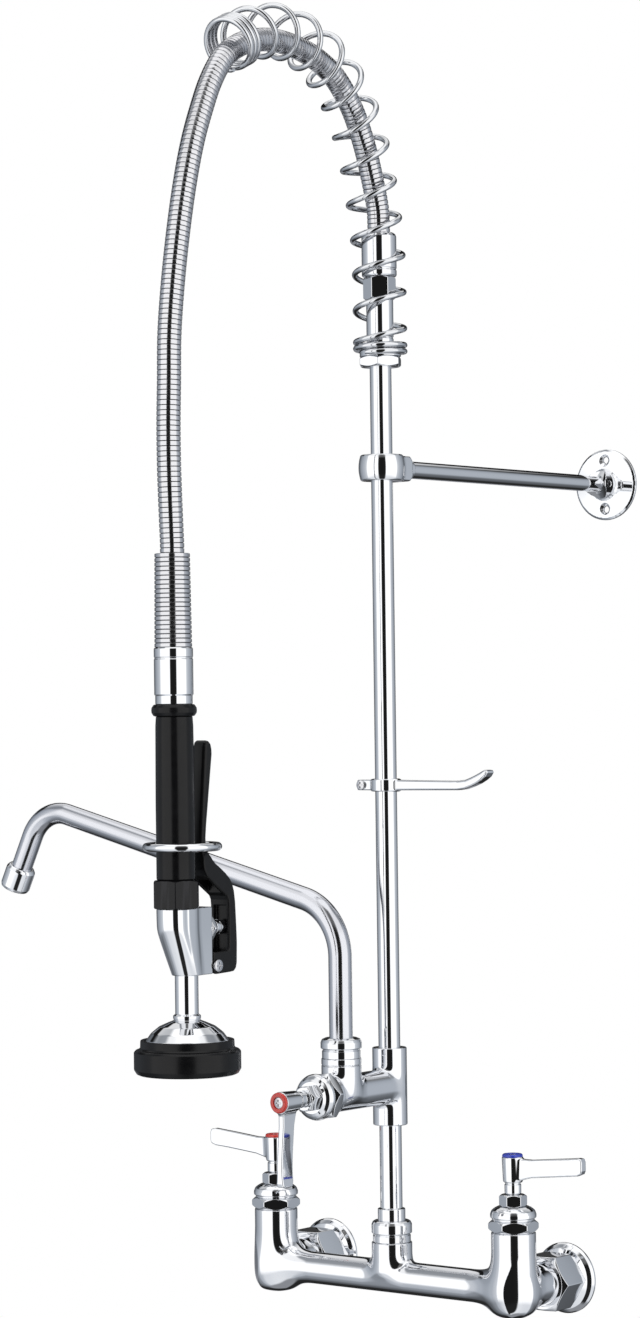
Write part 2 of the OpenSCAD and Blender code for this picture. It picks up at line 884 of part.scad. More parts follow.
// Face plate with rings of jets
module spray_plate() {
    color("silver")
    translate([0, head_y, 0]) difference() {
        along_z(26.45, 163.4, 165.9);
        for (ring = [1 : 3], k = [0 : 6 * ring - 1])
            rotate([0, 0, 60 * k / ring])
                along_z(0.9, 162, 167, 6.5 * ring, 0);
    }
}

// ------------------------------------------------------------------ spout

// Centreline of the spout: up, over to -X on a rising arm, and down to the tip
module spout_solid(r, past) {
    first_r = 40;
    last_r = 30;
    lean = 26;                  // nozzle's lean from the vertical
    drop = 41;                  // straight length of the nozzle
    first_turn = 90 - spout_rise;
    last_turn = 180 - lean - first_turn;
    rise_end = 222;
    reach_bends = first_r * (1 - cos(first_turn))
        + last_r * (cos(first_turn) + cos(lean)) + drop * sin(lean);
    arm = (spout_reach - reach_bends) / sin(first_turn);
    translate([0, spout_y, 0]) {
        along_z(r, spout_foot - past, rise_end);
        translate([0, 0, rise_end]) {
            bend(first_r, r, first_turn);
            translate([-first_r, 0, 0]) rotate([0, -first_turn, 0])
                translate([first_r, 0, 0]) {
                    cylinder(r = r, h = arm);
                    translate([0, 0, arm]) {
                        bend(last_r, r, last_turn);
                        translate([-last_r, 0, 0]) rotate([0, -last_turn, 0])
                            translate([last_r, 0, 0])
                                spout_end(r, drop, past);
                    }
                }
        }
    }
}

module spout_end(r, drop, past) { cylinder(r = r, h = drop + past); }

// Frame of the spout's outlet: its +Z leaves the tip
module at_outlet() {
    lean = 26;
    drop = 41;
    outlet_z = 222 + 40 * sin(90 - spout_rise)
        + (spout_reach - 40 * (1 - cos(90 - spout_rise))
           - 30 * (cos(90 - spout_rise) + cos(lean)) - drop * sin(lean))
          / sin(90 - spout_rise) * cos(90 - spout_rise)
        + 30 * (sin(lean) - sin(90 - spout_rise)) - drop * cos(lean);
    translate([-spout_reach, spout_y, outlet_z]) rotate([0, 180 + lean, 0])
        children();
}

module spout_tube() {
    color(chrome_grey)
    difference() {
        spout_solid(spout_d / 2, 0);
        spout_solid(spout_d / 2 - 1.4, over);
    }
}

module spout_tip() {
    color(chrome_grey)
    at_outlet() difference() {
        rotate_extrude()
            polygon([[spout_d / 2, -16.5], [9.4, -16.5], [10.7, -14.5], [10.7, -1],
                     [10, 1], [5.5, 1], [5.5, 0], [spout_d / 2, 0]]);
        along_z(5.4, -18, 3);
    }
}

faucet_body();
left_union_nut();
right_union_nut();
wall_flanges();
inlet_adapters();
union_washers();
hot_bonnet();
cold_bonnet();
addon_bonnet();
packing_nuts();
cartridges();
column_nut();
lower_riser();
addon_body();
spout_nut();
riser_tube();
bracket_clamp();
bracket_arm();
bracket_flange();
bracket_set_screws();
hot_stem();
hot_handle();
hot_index();
hot_screw();
cold_stem();
cold_handle();
cold_index();
cold_screw();
addon_stem();
addon_handle();
addon_index();
addon_screw();
spout_tube();
spout_tip();
spray_hook();
hook_screw();
spring_nut();
swivel_sleeve();
hose_adapter();
hose_ferrule();
overhead_spring();
hose_arch();
hose_drop();
hose_tail();
hose_sleeve();
grip_ferrule();
grip_ring();
grip();
grip_nut();
valve_body();
valve_bonnet();
pivot_screw();
spray_head();
spray_bumper();
spray_plate();
squeeze_lever();
valve_plunger();
valve_spring();
hold_ring();
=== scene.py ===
"""Looks of the wall-mounted pre-rinse faucet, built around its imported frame.

Shapes are worked out in millimetres and turned into metres where a mesh is made.
Most places come from the frame's boxes. Heights along a piece are the CAD's own numbers, and
the hose follows the same route as its CAD solids.
"""

import json
import math

import bpy
import numpy as np
from mathutils import Matrix, Vector


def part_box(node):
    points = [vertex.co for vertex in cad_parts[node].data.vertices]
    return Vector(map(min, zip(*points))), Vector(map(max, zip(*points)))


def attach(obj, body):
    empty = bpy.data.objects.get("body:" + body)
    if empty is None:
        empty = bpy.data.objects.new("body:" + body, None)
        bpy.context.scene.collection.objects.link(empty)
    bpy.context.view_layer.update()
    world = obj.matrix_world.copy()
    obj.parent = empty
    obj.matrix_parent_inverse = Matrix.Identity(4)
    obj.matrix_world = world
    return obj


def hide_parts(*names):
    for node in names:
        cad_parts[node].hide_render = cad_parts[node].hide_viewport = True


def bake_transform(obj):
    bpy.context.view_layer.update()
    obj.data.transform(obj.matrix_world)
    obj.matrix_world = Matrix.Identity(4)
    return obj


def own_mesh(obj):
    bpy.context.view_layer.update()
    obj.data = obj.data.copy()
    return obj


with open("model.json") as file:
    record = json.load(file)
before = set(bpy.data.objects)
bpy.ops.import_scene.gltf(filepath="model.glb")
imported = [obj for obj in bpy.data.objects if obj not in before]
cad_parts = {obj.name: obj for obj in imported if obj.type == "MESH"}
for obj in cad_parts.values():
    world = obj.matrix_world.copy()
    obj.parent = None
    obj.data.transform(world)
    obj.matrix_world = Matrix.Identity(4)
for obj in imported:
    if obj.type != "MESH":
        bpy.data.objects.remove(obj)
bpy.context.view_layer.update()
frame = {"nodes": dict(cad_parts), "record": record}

MM = 0.001
record = frame["record"]
SLOT = {part["node"]: part["material_slot"] for part in record["subparts"]}
BODY = {n: body for body, nodes in record["behaviour"]["bodies"].items() for n in nodes}

# ---- camera

YAW = math.radians(38.04)  # how far the camera stands to the right of the front
PITCH = math.radians(-0.74)
ROLL = math.radians(-0.74)
FOCAL = 94.876

ahead = np.array(
    [-math.sin(YAW) * math.cos(PITCH), math.cos(YAW) * math.cos(PITCH), -math.sin(PITCH)]
)
level = np.array([math.cos(YAW), math.sin(YAW), 0.0])
upward = np.cross(level, ahead)
right = math.cos(ROLL) * level + math.sin(ROLL) * upward
top = -math.sin(ROLL) * level + math.cos(ROLL) * upward
lens = bpy.data.cameras.new("camera")
lens.lens = FOCAL
lens.sensor_width = 36
camera = bpy.data.objects.new("camera", lens)
camera.matrix_world = Matrix(
    [
        [right[0], top[0], -ahead[0], 1.43533],
        [right[1], top[1], -ahead[1], -1.96818],
        [right[2], top[2], -ahead[2], 0.39289],
        [0, 0, 0, 1],
    ]
)
bpy.context.scene.collection.objects.link(camera)
bpy.context.scene.camera = camera
TO_CAMERA = (math.sin(YAW), -math.cos(YAW), 0.0)

# ---- materials


class Tree:
    """A node tree, with the steps that the materials and the world share."""

    def __init__(self, tree):
        self.tree = tree

    def add(self, kind, **settings):
        node = self.tree.nodes.new(kind)
        for key, value in settings.items():
            setattr(node, key, value)
        return node

    def link(self, a, b):
        self.tree.links.new(a, b)

    def math(self, operation, a, b=None):
        """Each of a and b is a number or an output."""
        node = self.add("ShaderNodeMath", operation=operation)
        for socket, value in zip(node.inputs, (a, b)):
            if isinstance(value, (int, float)):
                socket.default_value = value
            elif value is not None:
                self.link(value, socket)
        return node.outputs[0]

    def mixed(self, share, a, b):
        """Colour between a and b; each is an RGB triple or an output."""
        node = self.add("ShaderNodeMix", data_type="RGBA")
        self.link(share, node.inputs[0])
        for socket, colour in ((node.inputs[6], a), (node.inputs[7], b)):
            if isinstance(colour, tuple):
                socket.default_value = (*colour, 1)
            else:
                self.link(colour, socket)
        return node.outputs[2]


class Nodes(Tree):
    """A material's node tree, with the few nodes that these finishes use."""

    def __init__(self, name):
        self.material = bpy.data.materials.new(name)
        self.material.use_nodes = True
        super().__init__(self.material.node_tree)
        self.shader = self.tree.nodes["Principled BSDF"]
        self.place = self.add("ShaderNodeTexCoord").outputs["Object"]

    def noise(self, scale, detail, stretch=(1, 1, 1)):
        mapping = self.add("ShaderNodeMapping")
        mapping.inputs["Scale"].default_value = stretch
        self.link(self.place, mapping.inputs["Vector"])
        node = self.add("ShaderNodeTexNoise")
        node.inputs["Scale"].default_value = scale
        node.inputs["Detail"].default_value = detail
        node.inputs["Roughness"].default_value = 0.55
        self.link(mapping.outputs[0], node.inputs["Vector"])
        return node.outputs["Fac"]

    def edges(self, low, high, out_low=0, out_high=1):
        """Pointiness: below 0.5 in grooves, 0.5 on flats and above it on outer edges."""
        pointed = self.add("ShaderNodeNewGeometry").outputs["Pointiness"]
        return self.ranged(pointed, low, high, out_low, out_high)

    def ranged(self, value, low, high, out_low, out_high):
        node = self.add("ShaderNodeMapRange")
        for key, number in zip(("From Min", "From Max", "To Min", "To Max"),
                               (low, high, out_low, out_high)):
            node.inputs[key].default_value = number
        self.link(value, node.inputs["Value"])
        return node.outputs[0]

    def bump(self, height, strength, distance, under=None):
        node = self.add("ShaderNodeBump")
        node.inputs["Strength"].default_value = strength
        node.inputs["Distance"].default_value = distance
        self.link(height, node.inputs["Height"])
        if under is not None:
            self.link(under, node.inputs["Normal"])
        self.link(node.outputs[0], self.shader.inputs["Normal"])
        return node.outputs[0]

    def set(self, **values):
        for key, value in values.items():
            self.shader.inputs[key.replace("_", " ")].default_value = value


def metal(name, colour, gloss, wobble, scratches=0.0, crease_shade_and_grime=(0.30, 0.30, 0.32)):
    """Polished or plated metal: gloss is the lowest and highest roughness."""
    n = Nodes(name)
    n.set(Metallic=1.0)
    dull = n.ranged(n.noise(34, 5), 0.35, 0.7, *gloss)
    wear = n.edges(0.52, 0.60, 0, 0.05)
    n.link(n.math("ADD", dull, wear), n.shader.inputs["Roughness"])
    # Grooves and inner corners are darkened towards the last colour given: painted shade in
    # creases, with some grime.
    crease_shade_mask = n.edges(0.40, 0.475, 1, 0)
    tint = n.mixed(n.ranged(n.noise(9, 3), 0.3, 0.7, 0, 1), colour,
                   tuple(0.965 * c for c in colour))
    n.link(n.mixed(crease_shade_mask, tint, crease_shade_and_grime), n.shader.inputs["Base Color"])
    low = n.bump(n.noise(70, 2), wobble, 0.0006)
    n.bump(n.noise(900, 3, (1, 1, 0.08)), 0.012 + scratches, 0.00008, low)
    return n.material


def moulded(name, colour, gloss, grain_scale, grain, worn):
    """Black moulded plastic or rubber with a fine grain and paler worn edges."""
    n = Nodes(name)
    n.set(Specular_IOR_Level=0.25)
    n.link(n.ranged(n.noise(40, 4), 0.3, 0.7, *gloss), n.shader.inputs["Roughness"])
    dusty = n.mixed(n.ranged(n.noise(160, 5), 0.45, 0.8, 0, 0.6), colour,
                    tuple(1.5 * c + 0.002 for c in colour))
    n.link(n.mixed(n.edges(0.53, 0.62), dusty, worn), n.shader.inputs["Base Color"])
    soft = n.bump(n.noise(60, 2), 0.05, 0.0005)
    n.bump(n.noise(grain_scale, 4), grain, 0.00012, soft)
    return n.material


def enamel(name, colour, deep):
    """Gloss index paint, slightly uneven."""
    n = Nodes(name)
    n.set(Coat_Weight=0.6, Coat_Roughness=0.06, Specular_IOR_Level=0.5)
    n.link(n.mixed(n.ranged(n.noise(300, 4), 0.35, 0.7, 0, 1), colour, deep),
           n.shader.inputs["Base Color"])
    n.link(n.ranged(n.noise(500, 3), 0.3, 0.7, 0.2, 0.36), n.shader.inputs["Roughness"])
    n.bump(n.noise(700, 3), 0.06, 0.0001)
    return n.material


# Each: colour, roughness range, bump, scratches, and for brass the colour of its painted crease
# shade with grime.
METALS = {
    "chrome": ((0.83, 0.84, 0.86), (0.02, 0.055), 0.010),
    "cast_chrome": ((0.81, 0.82, 0.845), (0.03, 0.08), 0.05),
    "spring_chrome": ((0.71, 0.72, 0.74), (0.025, 0.06), 0.02, 0.01),
    "hose_steel": ((0.67, 0.67, 0.69), (0.08, 0.16), 0.03, 0.03),
    "steel": ((0.70, 0.70, 0.72), (0.10, 0.24), 0.03, 0.08),
    "brass": ((0.78, 0.58, 0.26), (0.18, 0.34), 0.05, 0.12, (0.2, 0.12, 0.05)),
}
BLACKS = {
    "grip_plastic": ((0.004, 0.004, 0.0045), (0.17, 0.25), 2200, 0.06, (0.016, 0.016, 0.018)),
    "lever_plastic": ((0.005, 0.005, 0.0055), (0.26, 0.36), 1600, 0.14, (0.020, 0.020, 0.022)),
    "rubber": ((0.0035, 0.0035, 0.004), (0.20, 0.30), 1300, 0.10, (0.014, 0.014, 0.015)),
}
PAINTS = {
    "index_red": ((0.62, 0.035, 0.022), (0.50, 0.022, 0.015)),
    "index_blue": ((0.018, 0.045, 0.46), (0.012, 0.03, 0.34)),
}
MATERIALS = {
    name: finish(name, *look)
    for finish, looks in ((metal, METALS), (moulded, BLACKS), (enamel, PAINTS))
    for name, look in looks.items()
}
# The spout tube's chrome: its darker, bluer colour is painted shade on the same chrome; its higher
# roughness makes it duller.
SHADED_SPOUT_CHROME = metal("spout_chrome_painted_shade", (0.66, 0.67, 0.71), (0.10, 0.17), 0.03)
# Near-black steel for the groove faces of the hose and the sleeve and the hose's ends: painted
# shade between the ribs.
GROOVE_SHADE = metal("groove_painted_shade", (0.13, 0.13, 0.14), (0.3, 0.45), 0.05, 0.05, (0.06, 0.06, 0.06))

# ---- mesh helpers


def rot(axis, degrees):
    return np.array(Matrix.Rotation(math.radians(degrees), 3, axis))


UP = np.eye(3)
ALONG_Y = rot("X", -90)  # local z runs along +Y
TO_FRONT = rot("X", 90)  # local z runs along -Y
ALONG_X = rot("Y", 90)  # local z runs along +X


class Shape:
    """Points in millimetres with quads and triangles, and normals where they are exact."""

    def __init__(self, points, quads=(), tris=(), normals=None):
        self.points = np.asarray(points, float).reshape(-1, 3)
        self.quads = np.asarray(quads, int).reshape(-1, 4)
        self.tris = np.asarray(tris, int).reshape(-1, 3)
        self.normals = normals

    def outward(self):
        """Turns the faces round if they enclose a negative volume."""
        q, t = self.quads, self.tris
        triangles = np.concatenate([q[:, [0, 1, 2]], q[:, [0, 2, 3]], t])
        a, b, c = (self.points[triangles[:, k]] for k in range(3))
        if np.einsum("ij,ij->i", a, np.cross(b, c)).sum() < 0:
            self.quads, self.tris = q[:, ::-1], t[:, ::-1]
        return self

    def moved(self, turn=UP, to=(0, 0, 0)):
        normals = None if self.normals is None else self.normals @ turn.T
        return Shape(self.points @ turn.T + np.array(to, float), self.quads, self.tris, normals)


def joined(*shapes):
    points, quads, tris, normals, first = [], [], [], [], 0
    for s in shapes:
        points.append(s.points)
        quads.append(s.quads + first)
        tris.append(s.tris + first)
        normals.append(s.normals)
        first += len(s.points)
    exact = None if any(n is None for n in normals) else np.concatenate(normals)
    return Shape(np.concatenate(points), np.concatenate(quads), np.concatenate(tris), exact)


def make(name, shape, finish, second=None, second_faces=None, sharp=38):
    """A mesh object in metres. Faces in second_faces take the second finish."""
    mesh = bpy.data.meshes.new(name)
    q, t = shape.quads, shape.tris
    loops = np.concatenate([q.ravel(), t.ravel()]).astype(np.int32)
    starts = np.concatenate([np.arange(len(q)) * 4, len(q) * 4 + np.arange(len(t)) * 3])
    mesh.vertices.add(len(shape.points))
    mesh.vertices.foreach_set("co", (shape.points * MM).ravel().astype(np.float32))
    mesh.loops.add(len(loops))
    mesh.loops.foreach_set("vertex_index", loops)
    mesh.polygons.add(len(starts))
    mesh.polygons.foreach_set("loop_start", starts.astype(np.int32))
    mesh.polygons.foreach_set("use_smooth", np.ones(len(starts), bool))
    mesh.materials.append(finish)
    if second is not None:
        mesh.materials.append(second)
        mesh.polygons.foreach_set("material_index", second_faces.astype(np.int32))
    mesh.update(calc_edges=True)
    piece = bpy.data.objects.new(name, mesh)
    bpy.context.scene.collection.objects.link(piece)
    if shape.normals is not None:
        mesh.normals_split_custom_set_from_vertices(shape.normals.tolist())
    elif sharp:
        mesh.set_sharp_from_angle(angle=math.radians(sharp))
        piece.modifiers.new("weighted", "WEIGHTED_NORMAL").keep_sharp = True
    return piece


def stand_for(node, piece):
    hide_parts(node)
    return piece


def fit(node, piece):
    """The piece stands for its CAD node and rides where the node rides."""
    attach(stand_for(node, piece), BODY[node])
    return piece


def built(node, shape, **options):
    return fit(node, make(node + "_shape", shape, MATERIALS[SLOT[node]], **options))


def middle(node):
    low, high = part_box(node)
    return (low + high) / 2 / MM


def span(node, axis):
    low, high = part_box(node)
    return low[axis] / MM, high[axis] / MM


def half_width(node):
    low, high = span(node, 0)
    return (high - low) / 2


def rounded(outline, closed=True, steps=4):
    """Outline of (r, z) points; a third number is the radius of that corner."""
    out, count = [], len(outline)
    for i, corner in enumerate(outline):
        p = np.array(corner[:2], float)
        if len(corner) < 3 or (not closed and i in (0, count - 1)):
            out.append(p)
            continue
        a = np.array(outline[i - 1][:2], float) - p
        b = np.array(outline[(i + 1) % count][:2], float) - p
        la, lb = np.linalg.norm(a), np.linalg.norm(b)
        half = math.acos(np.clip(a @ b / la / lb, -1, 1)) / 2
        reach = min(corner[2] / math.tan(half), 0.48 * la, 0.48 * lb)
        start, end = p + a / la * reach, p + b / lb * reach
        for t in np.linspace(0, 1, steps):
            out.append((1 - t) ** 2 * start + 2 * t * (1 - t) * p + t * t * end)
    return out


ROUND = np.linspace(0, 2 * np.pi, 96, endpoint=False)


def spin(rows, closed=True, angles=ROUND):
    """Solid from rows of (radius, height) round the z axis; either may vary with the angle."""
    count = len(angles)
    r = np.array([np.broadcast_to(row[0], count) for row in rows], float)
    z = np.array([np.broadcast_to(row[1], count) for row in rows], float)
    points = np.stack([r * np.cos(angles), r * np.sin(angles), z], -1)
    return lofted(points, closed)


def lofted(points, closed):
    """Surface through rings of points. An open run of rings is capped at both ends."""
    rings, count = points.shape[:2]
    steps = rings if closed else rings - 1
    i, k = np.meshgrid(np.arange(steps), np.arange(count), indexing="ij")
    after, beside = (i + 1) % rings, (k + 1) % count
    quads = np.stack(
        [i * count + k, i * count + beside, after * count + beside, after * count + k], -1
    ).reshape(-1, 4)
    flat, tris = points.reshape(-1, 3), []
    if not closed:
        centres = np.array([points[0].mean(0), points[-1].mean(0)])
        first, k = len(flat), np.arange(count)
        flat = np.concatenate([flat, centres])
        last = (rings - 1) * count
        tris = np.concatenate([
            np.stack([(k + 1) % count, k, np.full(count, first)], -1),
            np.stack([last + k, last + (k + 1) % count, np.full(count, first + 1)], -1),
        ])
    return Shape(flat, quads, tris).outward()


def turned(outline, closed=True, steps=4):
    return spin([tuple(p) for p in rounded(outline, closed, steps)], closed)


def lathe(node, at, outline, turn=UP, **options):
    """A round piece, upright at its place unless it is turned."""
    return built(node, turned(outline, **options).moved(turn, at))


HEX_TURN = -22  # degrees by which the small hexagons are turned
# angles that follow the rounded corners and the flats of a hexagon
HEX = np.radians([60 * k + a for k in range(6)
                  for a in (-2.2, -1.4, -0.7, 0, 0.7, 1.4, 2.2, *np.linspace(5, 55, 11))])


def hex_radius(across_flats, fillet):
    """Distance to a hexagon's side, with its corners rounded. Corners are at 0, 60, ..."""
    apothem = across_flats / 2
    off = np.abs((HEX % (np.pi / 3)) - np.pi / 6)
    plain = apothem / np.cos(off)
    centre = (apothem - fillet) / math.cos(np.pi / 6)
    delta = np.pi / 6 - off
    inner = np.maximum(fillet**2 - (centre * np.sin(delta)) ** 2, 0)
    bent = centre * np.cos(delta) + np.sqrt(inner)
    corner = np.tan(off) > (apothem - fillet) * math.tan(np.pi / 6) / apothem
    return np.where(corner, bent, plain)


def hex_rows(across_flats, low, high, cut_low, cut_high, slope, ease=0.3, fillet=0.7):
    """Rows of a hexagonal part from low to high; the cuts are the radii of its chamfers' ends."""
    r = hex_radius(across_flats, fillet)
    tan, cos, sin = (f(math.radians(slope)) for f in (math.tan, math.cos, math.sin))
    rows = []
    for z, cut, way in ((low, cut_low, -1), (high, cut_high, 1)):
        drop = np.maximum(r - cut, 0) * tan
        slid = np.where(drop > 0.05, ease, 0.05)
        end = [
            (np.minimum(cut, r) - 0.3, z),
            (np.minimum(cut + 0.15, r - slid * cos), z - way * np.minimum(0.1, drop)),
            (r - slid * cos, z - way * np.maximum(drop - slid * sin, 0.1)),
            (r, z - way * (drop + ease)),
        ]
        rows += end if way < 0 else end[::-1]
    return rows


def hexed(rows):
    return spin(rows, True, HEX)


def smooth_line(points, steps=8):
    """Catmull-Rom curve through the points, the same curve as the CAD route's."""
    p = np.array(points, float)
    out = []
    for i in range(len(p) - 1):
        a, b, c, d = p[max(i - 1, 0)], p[i], p[i + 1], p[min(i + 2, len(p) - 1)]
        for t in np.arange(steps) / steps:
            out.append(0.5 * (2 * b + (c - a) * t + (2 * a - 5 * b + 4 * c - d) * t * t
                              + (3 * b - a - 3 * c + d) * t**3))
    return np.array(out + [p[-1]])


def arc_lengths(line):
    return np.concatenate([[0], np.cumsum(np.linalg.norm(np.diff(line, axis=0), axis=1))])


def headings(line):
    d = np.gradient(line, axis=0)
    return d / np.linalg.norm(d, axis=1)[:, None]


def followed(line, s):
    """Points and unit headings at the lengths s along a line."""
    marks = arc_lengths(line)
    at, d = (np.stack([np.interp(s, marks, values[:, k]) for k in range(3)], -1)
             for values in (line, headings(line)))
    return at, d / np.linalg.norm(d, axis=1)[:, None]


def ringed(line, u, v, radius, sides):
    """A ring of points round each point of the line; u and v are square to the line."""
    a = np.linspace(0, 2 * np.pi, sides, endpoint=False)[:, None]
    u, v = (np.broadcast_to(w, line.shape)[:, None] for w in (u, v))
    radius = np.broadcast_to(radius, len(line))[:, None, None]
    return line[:, None] + radius * (u * np.cos(a) + v * np.sin(a))


def swept(line, radius, sides):
    """Tube of the given radius along a line, with a frame that doesn't twist."""
    d = headings(line)
    u = np.cross(d[0], [0.31, 0.22, 0.93])
    frames = []
    for heading in d:
        u = u - heading * (u @ heading)
        u /= np.linalg.norm(u)
        frames.append(u.copy())
    u = np.array(frames)
    return lofted(ringed(line, u, np.cross(d, u), radius, sides), False)


# ---- shapes from distances


def blend_in(a, b, k):
    """Union of two distance fields with a soft fillet about k wide."""
    h = np.maximum(k - np.abs(a - b), 0) / k
    return np.minimum(a, b) - h**3 * k / 6


def keep_in(a, b, k):
    """Intersection with a soft edge; keep_in(a, -b, k) cuts b away from a."""
    return -blend_in(-a, -b, k)


BORE_EDGE = 0.3


def less(d, k, *cuts):
    """What is left of d when the cuts are taken away, with edges eased by k."""
    for cut in cuts:
        d = keep_in(d, -cut, k)
    return d


def smooth_step(t):
    """0 up to t = 0, 1 from t = 1, with no kink at either."""
    t = np.clip(t, 0, 1)
    return t * t * (3 - 2 * t)


def slab(flat, across, half, edge):
    """Plate of the given half thickness from a flat outline's distance, with eased edges."""
    x, y = flat + edge, np.abs(across) - half + edge
    return np.minimum(np.maximum(x, y), 0) + np.hypot(np.maximum(x, 0), np.maximum(y, 0)) - edge


def capped(radial, along, r, low, high, edge):
    """Round bar with eased ends: radial and along are distances from and along its axis."""
    return slab(radial - r, along - (low + high) / 2, (high - low) / 2, edge)


def boxed(parts, edge):
    """Box with eased edges, from (coordinate, low, high) triples."""
    q = [np.abs(c - (lo + hi) / 2) - (hi - lo) / 2 + edge for c, lo, hi in parts]
    outside = np.sqrt(sum(np.maximum(v, 0) ** 2 for v in q))
    return np.minimum(np.maximum.reduce(q), 0) + outside - edge


def outlined(u, v, outline):
    """Distance to a flat outline, negative inside."""
    p = np.array(outline, float)
    nearest = np.full(u.shape, 1e9)
    inside = np.zeros(u.shape, bool)
    for (ax, ay), (bx, by) in zip(p, np.roll(p, -1, 0)):
        ex, ey, wx, wy = bx - ax, by - ay, u - ax, v - ay
        t = np.clip((wx * ex + wy * ey) / (ex * ex + ey * ey), 0, 1)
        nearest = np.minimum(nearest, np.hypot(wx - ex * t, wy - ey * t))
        crosses = (ay > v) != (by > v)
        with np.errstate(divide="ignore", invalid="ignore"):
            inside ^= crosses & (u < (bx - ax) * (v - ay) / (by - ay) + ax)
    return np.where(inside, -nearest, nearest)


def paired(grid, axis):
    """The grid without its last layer along the axis, and without its first."""
    layers = np.moveaxis(grid, axis, 0)
    return np.moveaxis(layers[:-1], 0, axis), np.moveaxis(layers[1:], 0, axis)


def carved(field, low, high, cell):
    """Mesh of the surface where field(x, y, z) is zero, with exact normals."""
    axes = [np.arange(lo - 1.5 * cell, hi + 2.5 * cell, cell) for lo, hi in zip(low, high)]
    grid = field(*np.meshgrid(*axes, indexing="ij"))
    inside = grid < 0
    shape = np.array(grid.shape)
    total = np.zeros((*(shape - 1), 3))
    count = np.zeros(shape - 1)
    for axis in range(3):
        first, second = paired(inside, axis)
        crossing = np.nonzero(first != second)
        base = np.stack(crossing, -1)
        va, vb = (values[crossing] for values in paired(grid, axis))
        where = base.astype(float)
        where[:, axis] += va / (va - vb)
        others = [o for o in range(3) if o != axis]
        for shift in ((0, 0), (0, -1), (-1, 0), (-1, -1)):
            cells = base.copy()
            cells[:, others] += shift
            ok = ((cells >= 0) & (cells < shape - 1)).all(1)
            index = tuple(cells[ok].T)
            np.add.at(total, index, where[ok])
            np.add.at(count, index, 1)
    used = count > 0
    number = np.full(used.shape, -1)
    number[used] = np.arange(used.sum())
    points = total[used] / count[used][:, None]
    quads = []
    for axis in range(3):
        others = [(axis + 1) % 3, (axis + 2) % 3]
        first, second = paired(inside, axis)
        crossing = np.nonzero(first != second)
        corners = []
        for shift in ((-1, -1), (0, -1), (0, 0), (-1, 0)):
            cells = np.stack(crossing, -1)
            cells[:, others] += shift
            corners.append(number[tuple(cells.T)])
        quad = np.stack(corners, -1)
        quads.append(np.where(first[crossing][:, None], quad, quad[:, ::-1]))
    quads = np.concatenate(quads)
    p = points * cell + np.array([a[0] for a in axes])

    def slope(p):
        h = 0.02
        g = np.stack([
            (field(*(p + h * e).T) - field(*(p - h * e).T)) / (2 * h) for e in np.eye(3)
        ], -1)
        return g, np.maximum((g * g).sum(1), 1e-6)

    for _ in range(4):
        g, size = slope(p)
        step = g * (field(*p.T) / size)[:, None]
        length = np.linalg.norm(step, axis=1)[:, None]
        p = p - step * np.minimum(1, 0.5 * cell / np.maximum(length, 1e-9))
    g, size = slope(p)
    return Shape(p, quads, (), g / np.sqrt(size)[:, None])


# ---- hose and cords

HOSE_ROUTE = [  # centreline in the plane x = 0, as (y, z)
    (-62, 716), (-62, 722), (-63, 734), (-69, 754), (-78, 777), (-91, 799), (-109, 817),
    (-130, 827), (-153, 832), (-176, 833), (-196, 830), (-213, 824), (-228, 814), (-241, 797),
    (-251, 777), (-260, 755), (-268, 728), (-275, 697), (-281, 663), (-285, 630), (-286, 600),
    (-287, 573), (-287, 546), (-286, 518), (-285, 497), (-285, 490),
]
ARCH_END, DROP_END = 11, 20
HOSE_R = 7.75
RIB = 3.2  # length of one rib of the hose
# One rib: place along it, and how far it lies below the hose's outside
RIB_FORM = [(0.0, 0.75), (0.05, 0.62), (0.09, 0.10), (0.20, 0.015), (0.5, 0.0), (0.80, 0.015),
            (0.91, 0.10), (0.95, 0.62)]
GROOVE_ROWS = (7, 0)  # gaps between rows of a rib that lie in the groove; their faces get the painted groove shade
HOSE_STEPS, HOSE_SIDES = 8, 40
SIDE = np.array([1.0, 0, 0])


def hose_piece(node, first, last):
    """A stretch of the ribbed hose, and the points that it follows, in metres."""
    whole = smooth_line([(0, y, z) for y, z in HOSE_ROUTE], HOSE_STEPS)
    line = whole[first * HOSE_STEPS: last * HOSE_STEPS + 1]
    length = arc_lengths(line)[-1]
    ribs = max(1, round(length / RIB))
    rows = [((i + a) / ribs * length, HOSE_R - dip) for i in range(ribs) for a, dip in RIB_FORM]
    s, r = np.array(rows + [(length, HOSE_R - RIB_FORM[0][1])]).T
    centre, d = followed(whole, arc_lengths(whole)[first * HOSE_STEPS] + s)
    shape = lofted(ringed(centre, SIDE, np.cross(d, SIDE), r, HOSE_SIDES), False)
    row = np.arange(len(s) - 1) % len(RIB_FORM)
    # Groove rows and the end caps take the painted groove shade.
    dark = np.repeat(np.isin(row, GROOVE_ROWS), HOSE_SIDES)
    dark = np.concatenate([dark, np.ones(2 * HOSE_SIDES, bool)])
    piece = make(node + "_shape", shape, MATERIALS["hose_steel"], GROOVE_SHADE, dark, sharp=50)
    return stand_for(node, piece), line * MM, length * MM


FLEX_START, FLEX_END = (0, -0.062, 0.716), (0, -0.090, 0.800)
HOSE = (  # node, its stretch of the route, the bodies that it joins, where its bending ends
    ("hose_arch", 0, ARCH_END, "turret", "overhead", FLEX_END),
    ("hose_drop", ARCH_END, DROP_END, "overhead", "hanging_hose", (0, -0.255, 0.765)),
    ("hose_tail", DROP_END, len(HOSE_ROUTE) - 1, "hanging_hose", "handset", (0, -0.285, 0.492)),
)
for node, first, last, upper, lower, bend_end in HOSE:
    piece, path, length = hose_piece(node, first, last)
    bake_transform(piece)

# ---- spring

